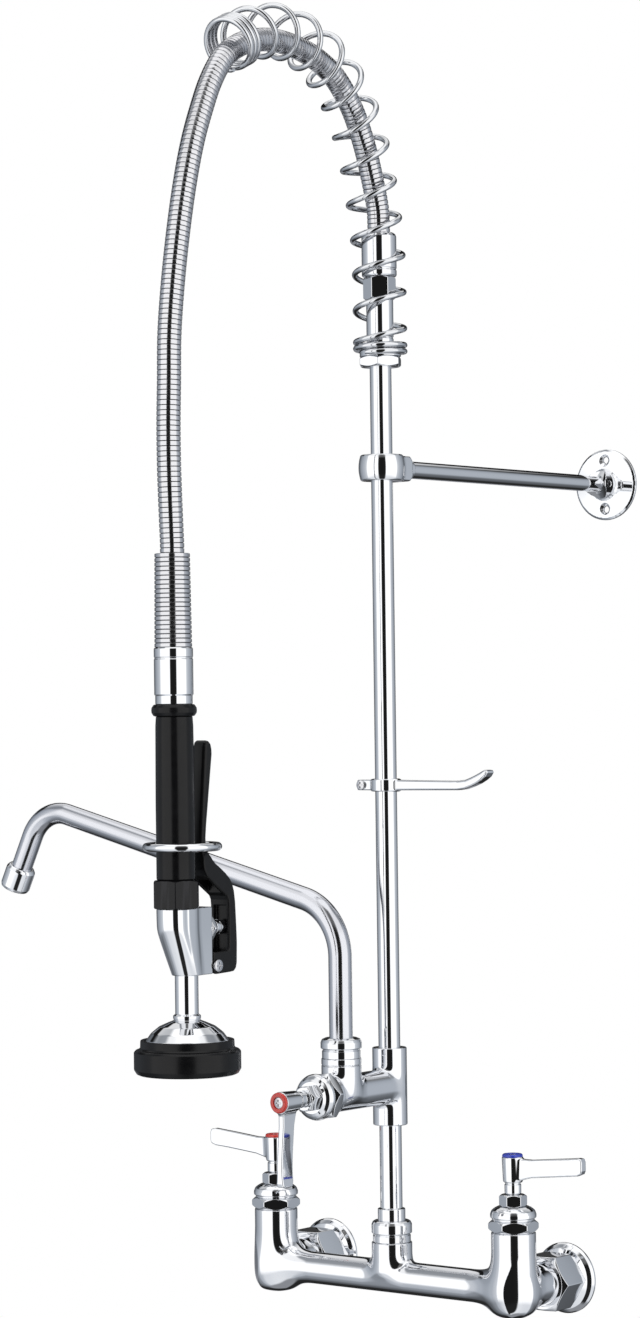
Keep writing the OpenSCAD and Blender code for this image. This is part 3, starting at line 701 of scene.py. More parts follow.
COIL_ROUTE = [
    (-62, 633), (-62, 672), (-63, 704), (-68, 735), (-76, 765), (-88, 792), (-105, 814),
    (-128, 830), (-153, 838), (-178, 839), (-202, 833), (-224, 823),
]
WIRE = 4.0
SPRING_D = 37.5
FOOT_TURNS, OPEN_TURNS, END_TURNS = 2, 12, 3
CLOSED_PITCH = WIRE + 0.3


def overhead_spring():
    route = smooth_line([(0, y, z) for y, z in COIL_ROUTE], 24)
    length = arc_lengths(route)[-1]
    turns = FOOT_TURNS + OPEN_TURNS + END_TURNS
    pitch = (length - CLOSED_PITCH * (FOOT_TURNS + END_TURNS)) / OPEN_TURNS
    n = np.linspace(0, turns, turns * 48 + 1)
    s = np.interp(
        n,
        [0, FOOT_TURNS, FOOT_TURNS + OPEN_TURNS, turns],
        [0, FOOT_TURNS * CLOSED_PITCH, FOOT_TURNS * CLOSED_PITCH + OPEN_TURNS * pitch, length],
    )
    # the lead changes gently where closed turns open
    width = 10
    weights = np.hanning(2 * width + 1)
    padded_s = np.concatenate([2 * s[0] - s[width:0:-1], s, 2 * s[-1] - s[-2:-width - 2:-1]])
    s = np.convolve(padded_s, weights / weights.sum(), "valid")
    centre, d = followed(route, s)
    a = 2 * np.pi * n[:, None]
    wire = centre + (SPRING_D - WIRE) / 2 * (SIDE * np.sin(a) + np.cross(SIDE, d) * np.cos(a))
    radius = np.full(len(wire), WIRE / 2)
    radius[:2] = radius[-2:] = (WIRE / 2 - 0.5, WIRE / 2 - 0.1)
    radius[-2:] = radius[-2:][::-1]
    return swept(wire, radius, 16)


spring = stand_for("overhead_spring", make("overhead_spring_shape", overhead_spring(),
                                           MATERIALS["spring_chrome"], sharp=60))
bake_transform(spring)

# ---- places from boxes

body_y = middle("riser_tube")[1]
half_span = middle("cold_bonnet")[0]
tower_top = span("cold_bonnet", 2)[0]
addon_z = middle("addon_bonnet")[2]
barrel_front = span("addon_bonnet", 1)[1]
spout_y = middle("spout_nut")[1]
handset_y = middle("grip")[1]
head_y = middle("spray_head")[1]
boss_back = span("faucet_body", 1)[1]
VALVES = {
    "hot": (UP, (-half_span, body_y, tower_top)),
    "cold": (rot("Z", 180), (half_span, body_y, tower_top)),
    "addon": (TO_FRONT @ rot("Z", 90), (0, barrel_front, addon_z)),
}
COLUMN = (0, body_y, 0)
HANDSET = (0, handset_y, 0)
HEAD = (0, head_y, 0)

# ---- mixing body


def body_field(x, y, z):
    beside = np.abs(x) - half_span
    ahead_y = y - body_y
    # crossbar, widening towards the towers
    bar = np.hypot(ahead_y, z) - 11 - 3.6 * smooth_step((beside + 34) / 34)
    bar = keep_in(bar, beside, 2)
    # towers with an egg-shaped foot
    radial = np.hypot(beside, ahead_y)
    tower = radial - 15.75 + 0.75 * smooth_step((z - 2) / 26)
    tower = keep_in(tower, -17.5 - z, 20)
    tower = keep_in(tower, z - tower_top, 1.6)
    boss = keep_in(np.hypot(beside, z) - 14.5, np.maximum(y - boss_back, body_y - y), 1.2)
    inner = np.hypot(x, ahead_y)
    post = keep_in(inner - 13.9, 1 - z, 9)
    post = keep_in(post, z - 24, 1.4)
    d = blend_in(bar, tower, 15)
    d = blend_in(d, boss, 9)
    d = blend_in(d, post, 9)
    # waterways, cartridge seats and the riser's socket
    return less(d, BORE_EDGE, np.maximum(radial - 9.9, 13 - z),
                np.maximum(np.hypot(beside, z) - 7, body_y - y), np.maximum(inner - 8, 12 - z))


built("faucet_body", carved(body_field, (-121, body_y - 17, -18), (121, boss_back, tower_top),
                            0.95))


def union_nut():
    low, high = span("left_union_nut", 1)
    length = high - low
    rows = [(14.6, 0.4)] + hex_rows(36.2, 0, length, 17.2, 17.0, 35)
    rows += [(12.3, length), (11.95, length - 0.4), (11.95, length - 8), (14.55, length - 8)]
    return hexed(rows)


for node, x in (("left_union_nut", -half_span), ("right_union_nut", half_span)):
    built(node, union_nut().moved(ALONG_Y, (x, span(node, 1)[0], 0)))


def at_inlets(shape):
    return joined(*(shape.moved(TO_FRONT, (x, 0, 0)) for x in (-half_span, half_span)))


FLANGE_OUTLINE = [
    (12, 8, 0.3), (12, 5.5, 0.3), (15.5, 5.2, 2), (20, 3.6, 3), (22, 2, 1.5), (22.5, 0, 0.2),
    (24, 0, 0.2), (24, 1.5, 0.7), (23, 3.2, 2), (20.8, 5.2, 3), (16, 7.2, 3), (14, 7.8, 0.6),
    (13.6, 8, 0.3),
]
built("wall_flanges", at_inlets(turned(FLANGE_OUTLINE)))


def inlet_adapter():
    """Thread rings line the female inlet, open towards the wall at z = 0."""
    outline = [(11.9, 0, 0.3), (11.9, 15), (14, 15, 0.3), (14, 18.5, 0.3), (7, 18.5, 0.3),
               (7, 12, 0.2)]
    crest, root, pitch = 9.75, 10.4, 1.8
    for i in range(6, 0, -1):
        z = i * pitch
        outline += [(root, z + 0.25), (root, z), (crest, z - 0.75), (crest, z - 0.95)]
    outline += [(root, 0.2, 0.1), (10.8, 0, 0.1)]
    return turned(outline, steps=3)


built("inlet_adapters", at_inlets(inlet_adapter()))

# ---- valves

HEX_TOP, DOME_TOP, PACKING_TOP, COLLAR_TOP, HUB_TOP, INDEX_TOP = 8.5, 17, 25, 33, 50, 52
STEM_BORE = 3.55


def bonnet():
    rows = [(STEM_BORE, 0.2)] + hex_rows(29.45, 0, HEX_TOP, 14.1, 13.6, 40)
    dome = [(14.3, HEX_TOP, 0.2), (14.3, HEX_TOP + 0.8, 0.3), (15.5, HEX_TOP + 1.2, 0.8),
            (15.5, HEX_TOP + 3.4, 2), (14.6, HEX_TOP + 6.0, 3), (12.4, HEX_TOP + 7.6, 2),
            (10.6, DOME_TOP, 0.8), (STEM_BORE, DOME_TOP, 0.1)]
    return hexed(rows + [tuple(p) for p in rounded(dome, False)])


def packing_nut():
    rows = [(STEM_BORE, DOME_TOP)] + hex_rows(16.45, DOME_TOP, PACKING_TOP, 7.9, 7.6, 35)
    return hexed(rows + [(4.4, PACKING_TOP), (STEM_BORE, PACKING_TOP - 0.6)])


def stem():
    top = HUB_TOP - 3
    return turned([
        (0, -13.5), (3.5, -13.5, 0.4), (3.5, PACKING_TOP + 0.3), (5.0, PACKING_TOP + 0.3, 0.2),
        (5.6, PACKING_TOP + 1, 0.4), (5.6, COLLAR_TOP - 1.4, 0.3), (5.1, COLLAR_TOP - 1.1, 0.2),
        (5.1, COLLAR_TOP - 0.1, 0.2), (4, COLLAR_TOP - 0.1), (4, top, 0.3), (2.1, top),
        (2.1, HUB_TOP - 16), (0, HUB_TOP - 16),
    ], closed=False)


BLADE = [
    (-2, 34.5), (-9, 35.2), (-16, 37), (-36, 39), (-52, 40.6), (-55.2, 42), (-56, 44), (-56, 50),
    (-55.2, 52.2), (-53, 52.6), (-36, 51), (-16, 49), (-2, 49),
]
BLADE_END, LEVER_HALF = 56, 2.25


def lever_field(x, y, z):
    radial = np.hypot(x, y)
    taper = np.clip((z - COLLAR_TOP) / (HUB_TOP - COLLAR_TOP), 0, 1)
    hub = keep_in(radial - 6.5 - 0.7 * taper, z - HUB_TOP, 1.2)
    hub = keep_in(hub, COLLAR_TOP - z, 1.6)
    # the blade is waisted near its hub and curls a little at its end
    along = np.clip(-x / BLADE_END, 0, 1)
    bow = 1.5 * np.clip((along - 0.55) / 0.45, 0, 1) ** 2
    half = LEVER_HALF + 0.9 * np.clip((along - 0.75) / 0.25, 0, 1) ** 2
    blade = slab(outlined(x, z, BLADE), y + bow, half, 1.1) * 0.95
    d = blend_in(hub, blade, 4)
    return less(d, BORE_EDGE, np.maximum(radial - 4, z - HUB_TOP + 3),
                np.maximum(radial - 2.1, HUB_TOP - 4 - z))


def cross_screw(head_r, head, shaft_r, shaft, recess):
    """Pan-head screw with a cross recess; its head rises from z = 0 and its shaft goes down."""

    def field(x, y, z):
        radial = np.hypot(x, y)
        crown = head - 0.28 * head * (radial / head_r) ** 2
        d = keep_in(radial - head_r, np.maximum((z - crown) * 0.9, -z), 0.5)
        d = np.minimum(d, capped(radial, z, shaft_r, -shaft, 0.3, 0.3))
        for u, v in ((x, y), (y, x)):
            slot = np.maximum.reduce([np.abs(u) - recess / 2 + 0.4 * (head - z),
                                      np.abs(v) - 0.5, head - 1.1 - z])
            d = less(d, 0.12, slot)
        return d

    return carved(field, (-head_r, -head_r, -shaft), (head_r, head_r, head), 0.24)


LEVER = carved(lever_field, (-57, -8, COLLAR_TOP), (8, 8, 53), 0.55)
HANDLE_SCREW = cross_screw(3.8, 1.8, 1.95, 14, 4.6).moved(UP, (0, 0, HUB_TOP))
INDEX = turned([(4, HUB_TOP, 0.1), (6.9, HUB_TOP, 0.2), (6.9, INDEX_TOP - 0.8, 0.7),
                (6.2, INDEX_TOP, 0.5), (4, INDEX_TOP, 0.3)])
packing_nuts = []
for name, (turn, to) in VALVES.items():
    hex_turn = turn @ rot("Z", HEX_TURN)
    built(name + "_bonnet", bonnet().moved(hex_turn, to))
    packing_nuts.append(packing_nut().moved(hex_turn, to))
    built(name + "_stem", stem().moved(turn, to))
    built(name + "_handle", LEVER.moved(turn, to))
    built(name + "_index", INDEX.moved(turn, to))
    built(name + "_screw", HANDLE_SCREW.moved(turn, to))
built("packing_nuts", joined(*packing_nuts))

# ---- column

lathe("column_nut", COLUMN, [
    (8.05, 24), (13, 24, 0.5), (13, 28.4, 0.4), (12.5, 28.9, 0.2), (12.5, 29.4, 0.2),
    (13.9, 30.2, 0.7), (13.9, 36, 1.2), (13.0, 37.9, 0.8), (12, 38.5, 0.5), (8.05, 38.5),
])
lathe("lower_riser", COLUMN, [
    (7.95, 13, 0.5), (7.95, 38.5), (9.45, 38.5, 0.2), (9.45, 46.6, 0.6), (7.6, 47.2, 0.4),
    (7.6, 112, 0.4), (5.8, 112, 0.3), (5.8, 13, 0.3),
])
COLLAR_LOW, COLLAR_HIGH = span("addon_body", 2)
POST_TOP, SPOUT_FOOT = 154.4, 146


def addon_field(x, y, z):
    column = np.hypot(x, y - body_y)
    collar = capped(column, z, 11.8, COLLAR_LOW, COLLAR_HIGH, 0.7)
    across = np.hypot(x, z - addon_z)
    barrel = keep_in(across - 12, np.maximum(barrel_front - y, y - body_y), 0.8)
    flange = capped(across, y, 13.6, barrel_front, barrel_front + 4, 0.8)
    stand = np.hypot(x, y - spout_y)
    post = keep_in(stand - 13.5, addon_z - 4 - z, 9)
    post = keep_in(post, z - POST_TOP, 1.2)
    groove = np.hypot((stand - 13.5) * 1.2, z - POST_TOP + 4.6) - 0.45
    post = less(post, BORE_EDGE, groove)
    d = blend_in(blend_in(barrel, collar, 5), post, 6)
    d = blend_in(d, flange, 2)
    return less(
        d, BORE_EDGE,
        np.maximum(column - 7.62, z - COLLAR_LOW - 8),
        np.maximum(column - 7.47, COLLAR_HIGH - 8 - z),
        column - 6,
        np.maximum(across - 9.9, y - barrel_front - 26),
        np.maximum(across - 4.5, y - body_y),
        np.maximum(stand - 7.95, SPOUT_FOOT - z),
        np.maximum(stand - 5, addon_z + 4 - z),
    )


built("addon_body", carved(addon_field, (-15, barrel_front, COLLAR_LOW),
                           (15, body_y + 13, COLLAR_HIGH), 0.62))
lathe("spout_nut", (0, spout_y, 0), [
    (7.95, POST_TOP), (13, POST_TOP, 0.3), (13, 159.2, 0.4), (12.4, 159.6, 0.2),
    (12.4, 160.1, 0.2), (13.9, 161.1, 0.8), (13.9, 164.9, 1.6), (13, 167, 0.8), (10.8, 168, 0.8),
    (7.95, 168),
])
riser_low, riser_high = span("riser_tube", 2)
lathe("riser_tube", COLUMN, [
    (7.45, riser_low, 0.4), (7.45, riser_high, 0.5), (5.8, riser_high, 0.3),
    (5.8, riser_low, 0.3),
])

# ---- wall bracket

bracket_z = middle("bracket_arm")[2]
arm_start, arm_end = span("bracket_arm", 1)
wall_face = span("bracket_flange", 1)[1]


def clamp_field(x, y, z):
    y, z = y - body_y, z - bracket_z
    radial = np.hypot(x, y)
    barrel = keep_in(radial - 16 + 1.5 * (z / 9) ** 2, np.abs(z) - 9, 1.6)
    neck = boxed([(x, -8.6, 8.6), (y, 0, 25), (z, -8.6, 8.6)], 1.4)
    across = np.hypot(x, z)
    neck = keep_in(neck, across + (y - 25) * 0.75 - 9.4, 1.2)
    tip = capped(across, y, 7.8, 20, 29, 0.8)
    d = blend_in(blend_in(barrel, neck, 4), tip, 0.6)
    d = less(d, BORE_EDGE, radial - 7.46, np.maximum(across - 6.02, 18 - y))
    return less(d, 0.2, np.maximum(np.hypot(y, z) - 2.05, x + 7))


built("bracket_clamp", carved(clamp_field, (-16.5, body_y - 16.5, bracket_z - 9.5),
                              (16.5, body_y + 29, bracket_z + 9.5), 0.62))
arm = arm_end - arm_start
lathe("bracket_arm", (0, arm_start, bracket_z),
      [(6, 0, 0.4), (6, arm, 0.5), (4.8, arm, 0.3), (4.8, 0, 0.3)], ALONG_Y)


def wall_flange_field(x, y, z):
    """Local frame: z leaves the wall."""
    radial = np.hypot(x, y)
    outline = [(-30, 0.4), (26.1, 0.4), (26.1, 1.7), (24.8, 2.7), (12, 3.8), (9.9, 4.8),
               (9.9, 15.6), (10.3, 16.0), (10.3, 18.2), (9.4, 19.1), (-30, 19.1)]
    d = outlined(radial, z, outline) - 0.4
    d = less(d, BORE_EDGE, np.maximum(radial - 6.02, 4 - z))
    for side in (-1, 1):
        hole = np.hypot(x, y - side * 18.5)
        d = less(d, 0.35, np.maximum(hole - 2.4 - np.maximum(z - 1.6, 0), -5 - z))
    return less(d, 0.2, np.maximum(np.hypot(y, z - 12) - 2.05, -x))


built("bracket_flange", carved(wall_flange_field, (-26.6, -26.6, 0), (26.6, 26.6, 19.6), 0.62)
      .moved(TO_FRONT, (0, wall_face, bracket_z)))

# ---- spray hook

hook_screw_x, _, hook_z = middle("hook_screw")
hook_reach = span("spray_hook", 0)[1]
HOOK_DRAWN_REACH = 88
HOOK_ARM = [  # side view, stretched to the hook's real reach
    (8, -3.6), (30, -3.4), (62, -3.2), (68, -2.5), (74, -0.6), (79, 1.4), (83, 3.6),
    (86.2, 5.9), (88, 8.5), (87.6, 10.2), (85.4, 10.6), (82, 9.0), (78, 7.2), (73.5, 5.4),
    (69, 3.9), (63, 3.3), (56, 3.1), (30, 3.3), (8, 3.6),
]


def hook_field(x, y, z):
    y, z = y - body_y, z - hook_z
    radial = np.hypot(x, y)
    ring = capped(radial, z, 10.4, -4.3, 4.3, 1.0)
    ear = boxed([(x, -22.5, -7), (y, -3.5, 3.5), (z, -3.6, 3.6)], 1.0)
    half = 3.5 + 1.2 * np.clip((x - 62) / 22, 0, 1)
    side = outlined(x, z, [(u * hook_reach / HOOK_DRAWN_REACH, v) for u, v in HOOK_ARM])
    d = blend_in(blend_in(ring, slab(side, y, half, 1.6) * 0.95, 3), ear, 2)
    d = less(d, BORE_EDGE, radial - 7.5, boxed([(x, -24, -6), (y, -0.6, 0.6), (z, -6, 6)], 0.1))
    return less(d, 0.2, np.hypot(x - hook_screw_x, z) - 1.6)


built("spray_hook", carved(hook_field, (-23, body_y - 11, hook_z - 5),
                           (hook_reach, body_y + 11, hook_z + 11), 0.55))
built("hook_screw", cross_screw(3.4, 2.1, 1.5, 9.4, 4.4)
      .moved(TO_FRONT, (hook_screw_x, body_y - 3.5, hook_z)))

# ---- top of the column

built("spring_nut", hexed(
    [(7.5, 624.2)] + hex_rows(26.85, 623.7, 631, 12.9, 12.9, 32)
    + [(14.2, 631.05), (14.2, 637.6), (13.8, 638), (7.9, 638), (7.5, 637.6)]
).moved(UP, COLUMN))
lathe("swivel_sleeve", COLUMN, [
    (5.8, 642), (7.5, 642), (7.5, 638, 0.2), (9.3, 638, 0.4), (9.3, 643, 0.3),
    (8.9, 643.4, 0.2), (8.9, 644.2, 0.2), (9.3, 644.6, 0.3), (9.3, 670, 0.5), (5.8, 670, 0.3),
])
built("hose_adapter", hexed(
    [(5.9, 670.3)] + hex_rows(19.65, 670, 686, 9.4, 9.4, 35) + [(5.9, 685.7)]
).moved(rot("Z", HEX_TURN), COLUMN))
lathe("hose_ferrule", COLUMN, [
    (5.8, 686), (11.4, 686, 0.3), (12, 687, 0.5), (12, 690, 0.3), (11.6, 690.5, 0.2),
    (11.6, 691.3, 0.2), (12, 691.8, 0.3), (12, 713.5, 0.8), (11.4, 715, 0.5), (10, 716, 0.4),
    (5.8, 716),
])

# ---- handset

# heights at which the handset's pieces meet
HEAD_LOW, HEAD_TOP, NUT_LOW, GRIP_LOW, GRIP_TOP = 178, 221, 264, 282, 386
FERRULE_LOW, SLEEVE_LOW, SLEEVE_TOP = 394, 430, 490


def ribbed_sleeve():
    """Strain sleeve: rounded ribs with narrow grooves between them."""
    ribs, high, low = 21, SLEEVE_TOP, SLEEVE_LOW
    step = (high - low) / ribs
    form = [(0.05, 0.7), (0.11, 0.15), (0.22, 0.02), (0.5, 0.0), (0.78, 0.02), (0.89, 0.15),
            (0.95, 0.7)]
    rows = [(7.8, low), (7.8, high - 0.5), (8.3, high)]
    mouth = len(rows)
    for i in range(ribs):
        r = 11.3 + 0.7 * (i + 0.5) / ribs
        rows += [(r - dip, high - (i + share) * step) for share, dip in form]
    in_groove = np.zeros(len(rows), bool)
    # The groove rows take the painted groove shade.
    in_groove[mouth + len(form) - 1::len(form)] = True
    return spin(rows), np.repeat(in_groove, len(ROUND))


sleeve_shape, sleeve_shaded_faces = ribbed_sleeve()
fit("hose_sleeve", make("hose_sleeve_shape", sleeve_shape.moved(UP, HANDSET),
                        MATERIALS["hose_steel"], GROOVE_SHADE, sleeve_shaded_faces, sharp=50))
lathe("grip_ferrule", HANDSET, [
    (5, SLEEVE_LOW), (11.9, SLEEVE_LOW, 0.3), (12.5, 429.2, 0.5), (12.5, 424, 0.3),
    (12.15, 423.6, 0.2), (12.15, 422.8, 0.2), (12.5, 422.4, 0.3), (12.5, 400.2, 0.5),
    (11.9, 399.2, 0.3), (11.9, FERRULE_LOW, 0.3), (5, FERRULE_LOW),
])
ring_mid = middle("grip_ring")[2]
lathe("grip_ring", HANDSET, [
    (5, FERRULE_LOW), (11.2, FERRULE_LOW, 0.3), (13.1, ring_mid + 3.6, 1.2),
    (14.4, ring_mid + 1.6, 1.2), (14.55, ring_mid, 2), (14.4, ring_mid - 1.6, 1.2),
    (13.1, ring_mid - 3.6, 1.2), (11.2, GRIP_TOP, 0.3), (5, GRIP_TOP),
])
lathe("grip", HANDSET, [
    (5, GRIP_LOW), (12.0, GRIP_LOW, 0.2), (12.5, 283, 0.8), (12.5, 300), (12.5, 330, 20),
    (12.1, 380, 5), (11.7, GRIP_TOP, 0.4), (5, GRIP_TOP),
])
built("grip_nut", hexed(
    [(5, NUT_LOW + 0.2)] + hex_rows(28.15, NUT_LOW, GRIP_LOW, 13.9, 13.7, 22, 0.4, 1.8)
    + [(5, GRIP_LOW - 0.2)]
).moved(rot("Z", 8), HANDSET))

PLUNGER_Z = middle("valve_plunger")[2]
PIVOT_Y, PIVOT_Z = 30, middle("pivot_screw")[2]  # the lever's pivot, from the handset's axis
VALVE_LOW, VALVE_HIGH = span("valve_body", 2)
NECK_OFFSET = head_y - handset_y
BOSS_FACE = 26  # where the valve's bonnet seats, from the handset's axis
LEAN_START = 250  # height below which the valve's body leans back


def valve_field(x, y, z):
    y = y - handset_y
    # a round body whose lower part leans back to the neck, with flat flanks
    drop = LEAN_START - z
    lean = (drop + np.sqrt(drop * drop + 12)) / 2 / (LEAN_START - VALVE_LOW)
    centre = NECK_OFFSET * lean
    cone = keep_in(np.hypot(x, y - centre) - 13 + 3.7 * lean, np.abs(x) - 10.6, 3)
    ends = np.maximum(VALVE_LOW - z, z - VALVE_HIGH)
    back = np.clip(y / BOSS_FACE, 0, 1)
    flank = np.abs(x) - 10 + 2 * back + 1.6 * lean * (1 - back)
    boss = keep_in(flank, np.maximum(centre - y, y - BOSS_FACE), 1.6)
    d = blend_in(cone * 0.93, boss, 4)
    d = keep_in(d, ends, 0.8)
    lug = boxed([(x, -5, 5), (y, 20, 30), (z, VALVE_LOW + 0.5, 231)], 0.5)
    pivot = np.hypot(y - PIVOT_Y, z - PIVOT_Z)
    eye = capped(pivot, x, 4.7, -5, 5, 0.4)
    d = blend_in(d, np.minimum(lug, eye), 0.8)
    return less(
        d, BORE_EDGE,
        np.maximum(np.hypot(x, y) - 4.5, 246 - z),
        np.maximum(np.hypot(x, z - PLUNGER_Z) - 7, -5 - y),
        np.maximum(np.hypot(x, y - NECK_OFFSET) - 4.5, z - PLUNGER_Z),
        pivot - 2.05,
    )


built("valve_body", carved(valve_field, (-13, handset_y - 13, VALVE_LOW),
                           (13, handset_y + 35, VALVE_HIGH), 0.55))
built("valve_bonnet", hexed(
    [(3.3, -8), (6.6, -8), (6.95, -7.6), (6.95, -0.05)] + hex_rows(16.97, 0, 4, 8.2, 8.0, 30)
    + [(7.9, 4.05), (7.6, 4.6), (5.9, 6.2), (5.4, 6.5), (3.6, 6.5), (3.3, 6.2)]
).moved(ALONG_Y, (0, handset_y + BOSS_FACE, PLUNGER_Z)))
lathe("valve_plunger", (0, handset_y, PLUNGER_Z), [
    (0, 6), (5.5, 6, 0.4), (5.5, 10, 0.4), (3.25, 10, 0.2), (3.25, 34.8), (5, 34.8, 0.4),
    (5, 37.6, 0.2), (4.6, 37.9, 0.15), (4.6, 38.5, 0.15), (5, 38.8, 0.2), (5, 44, 1.2),
    (4, 45.3, 0.6), (0, 45.4),
], ALONG_Y, closed=False)
RETURN_TURNS, RETURN_R, RETURN_WIRE = 4, 4.0, 1.1


def return_spring():
    """The coil behind the plunger's collar."""
    low, high = span("valve_spring", 1)
    share = np.linspace(0, 1, 24 * RETURN_TURNS + 1)
    a = 2 * np.pi * RETURN_TURNS * share
    y = low + RETURN_WIRE / 2 + (high - low - RETURN_WIRE) * share
    line = np.stack([RETURN_R * np.cos(a), y, PLUNGER_Z + RETURN_R * np.sin(a)], -1)
    return swept(line, RETURN_WIRE / 2, 10)


valve_spring = built("valve_spring", return_spring(), sharp=60)
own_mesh(valve_spring)
built("pivot_screw", cross_screw(4, 2.0, 1.95, 16.2, 5)
      .moved(ALONG_X, (8.3, handset_y + PIVOT_Y, PIVOT_Z)))

LEVER_OUTLINE = [
    (23.8, 367), (24.7, 369.4), (26.4, 370.5), (28.6, 370.1), (30.6, 368.2), (31.5, 365),
    (31.7, 361.5), (24.2, 308), (24.2, 301), (25.5, 297), (27.6, 294), (30.6, 291.3), (36, 288),
    (40.5, 284.8), (44, 281.8), (46.7, 278.4), (48.6, 273), (49.7, 266), (50.6, 250),
    (51, 240), (50.6, 226.6), (49.6, 223.2), (47.4, 221.3), (44, 221), (30.4, 220.5),
    (27.8, 221.3), (26.6, 223.4), (26.6, 233), (28, 234.6), (41.4, 235), (42.6, 236.4),
    (43, 250), (43, 264), (42.6, 267.4), (41.2, 270), (30, 277.5), (21.4, 283.8), (18.8, 288),
    (18, 292.5), (19, 306),
]


def squeeze_field(x, y, z):
    y = y - handset_y
    half = 5.5 + 2.5 * smooth_step((303 - z) / 9)
    ease = 1.2 + 1.3 * np.clip((z - 296) / 20, 0, 1)
    d = slab(outlined(y, z, LEVER_OUTLINE), x, half, ease) * 0.95
    # channel over the valve's bonnet, the plunger and the lug
    for low, high, depth in ((210, 264, 46), (250, 281, 38)):
        d = less(d, 0.5, boxed([(x, -5.3, 5.3), (y, 5, depth), (z, low, high)], 0.6))
    return less(d, 0.2, np.hypot(y - PIVOT_Y, z - PIVOT_Z) - 2.06)


built("squeeze_lever", carved(squeeze_field, (-8.2, handset_y + 17, 220),
                              (8.2, handset_y + 51.5, 371), 0.6))

ring_low, ring_high = span("hold_ring", 2)
ring_wire = (ring_high - ring_low) / 2
ring_r = half_width("hold_ring") - ring_wire
ring_rows = [(ring_r + ring_wire * math.cos(a), ring_wire * math.sin(a))
             for a in np.linspace(0, 2 * np.pi, 24, endpoint=False)]
hold_ring = spin(ring_rows, angles=np.linspace(0, 2 * np.pi, 128, endpoint=False))
built("hold_ring", hold_ring.moved(UP, middle("hold_ring")), sharp=None)

lathe("spray_head", HEAD, [
    (4.5, HEAD_TOP), (7.5, HEAD_TOP, 0.2), (7.5, 196.5, 0.8), (8.9, 195.4, 0.5), (8.9, 193.8, 0.5),
    (8.4, 192.6, 0.6), (12, 191.2, 4), (18, 188.6, 6), (23, 184.6, 6), (26.4, 180, 2),
    (27.2, HEAD_LOW, 0.4), (24, HEAD_LOW, 0.3), (21, 181, 2), (15, 184.8, 3), (9, 187, 2),
    (4.5, 187.5),
], steps=7)
bumper_r = half_width("spray_bumper")
lathe("spray_bumper", HEAD, [
    (22, HEAD_LOW, 0.2), (27.2, HEAD_LOW, 0.2), (27.8, 180.1, 0.8), (30, 180.2, 0.8),
    (30.2, 175.4, 0.9), (31.2, 174.4, 0.5), (bumper_r - 1.2, 173.8, 1.6), (bumper_r, 172.4, 1.2),
    (bumper_r, 161.5, 1.4), (bumper_r - 1.6, 158.8, 1.4), (bumper_r - 3.4, 158, 1.0),
    (27.2, 158, 0.7), (26.5, 158.8, 0.5), (26.5, 166, 0.3), (22, 166, 0.2),
], steps=5)

# ---- spout

RISE = math.radians(14.3)
LEAN_DEGREES = 26  # of the outlet, from straight down
LEAN = math.radians(LEAN_DEGREES)
REACH, FIRST_R, LAST_R, DROP, RISE_END = 298, 40, 30, 41, 222
SPOUT_R, TIP_R, SPOUT_WALL = 7.9, 7.5, 1.4
TAPER_START, TAPER_LENGTH = 0.35, 0.6  # as shares of the spout's length


def spout_line():
    """Centreline of the spout: straight up, a bend, the arm, a bend, straight to the tip."""
    turn, last = math.pi / 2 - RISE, math.pi - LEAN
    bends = (FIRST_R * (1 - math.cos(turn)) + LAST_R * (math.cos(turn) - math.cos(last))
             + DROP * math.sin(LEAN))
    arm = (REACH - bends) / math.sin(turn)
    line = [np.array([0.0, SPOUT_FOOT])]
    for size, count, start, end in (
        (RISE_END - SPOUT_FOOT, 6, 0, 0), (FIRST_R, 40, 0, turn), (arm, 24, turn, turn),
        (LAST_R, 40, turn, last), (DROP, 5, last, last),
    ):
        at = line[-1]
        for a, share in zip(np.linspace(start, end, count)[1:], np.linspace(0, 1, count)[1:]):
            if start == end:
                step = share * np.array([-math.sin(a), math.cos(a)])
            else:
                step = np.array([math.cos(a) - math.cos(start), math.sin(a) - math.sin(start)])
            line.append(at + size * step)
    return np.array([(x, spout_y, z) for x, z in line])


def pipe(line, outer, inner, sides):
    """Hollow tube along a line in a plane square to Y."""
    flat = np.array([0.0, 1.0, 0.0])
    other = np.cross(headings(line), flat)
    outside, inside = (ringed(line, flat, other, r, sides) for r in (outer, inner))
    return lofted(np.concatenate([outside, inside[::-1]]), True)


route = spout_line()
share = arc_lengths(route) / arc_lengths(route)[-1]
outer = SPOUT_R + (TIP_R - SPOUT_R) * np.clip((share - TAPER_START) / TAPER_LENGTH, 0, 1)
spout_tube = pipe(route, outer, outer - SPOUT_WALL, 64)
fit("spout_tube", make("spout_tube_shape", spout_tube, SHADED_SPOUT_CHROME))
lathe("spout_tip", route[-1], [
    (7.6, -16.5), (8.9, -16.5, 0.3), (9.5, -15.9, 0.4), (10.6, -14.2, 0.8), (10.7, -12),
    (10.7, -1.2, 0.9), (9.9, 1, 0.6), (7.8, 1, 0.3), (7.2, 0.1, 0.2), (5.4, 0.1, 0.2),
    (5.4, -1.5), (7.6, -1.5),
], rot("Y", 180 + LEAN_DEGREES))

# ---- CAD nodes that stay

for node in ("cartridges", "union_washers", "spray_plate", "bracket_set_screws"):
    for socket in frame["nodes"][node].material_slots:
        socket.material = MATERIALS[SLOT[node]]

# ---- floor and light


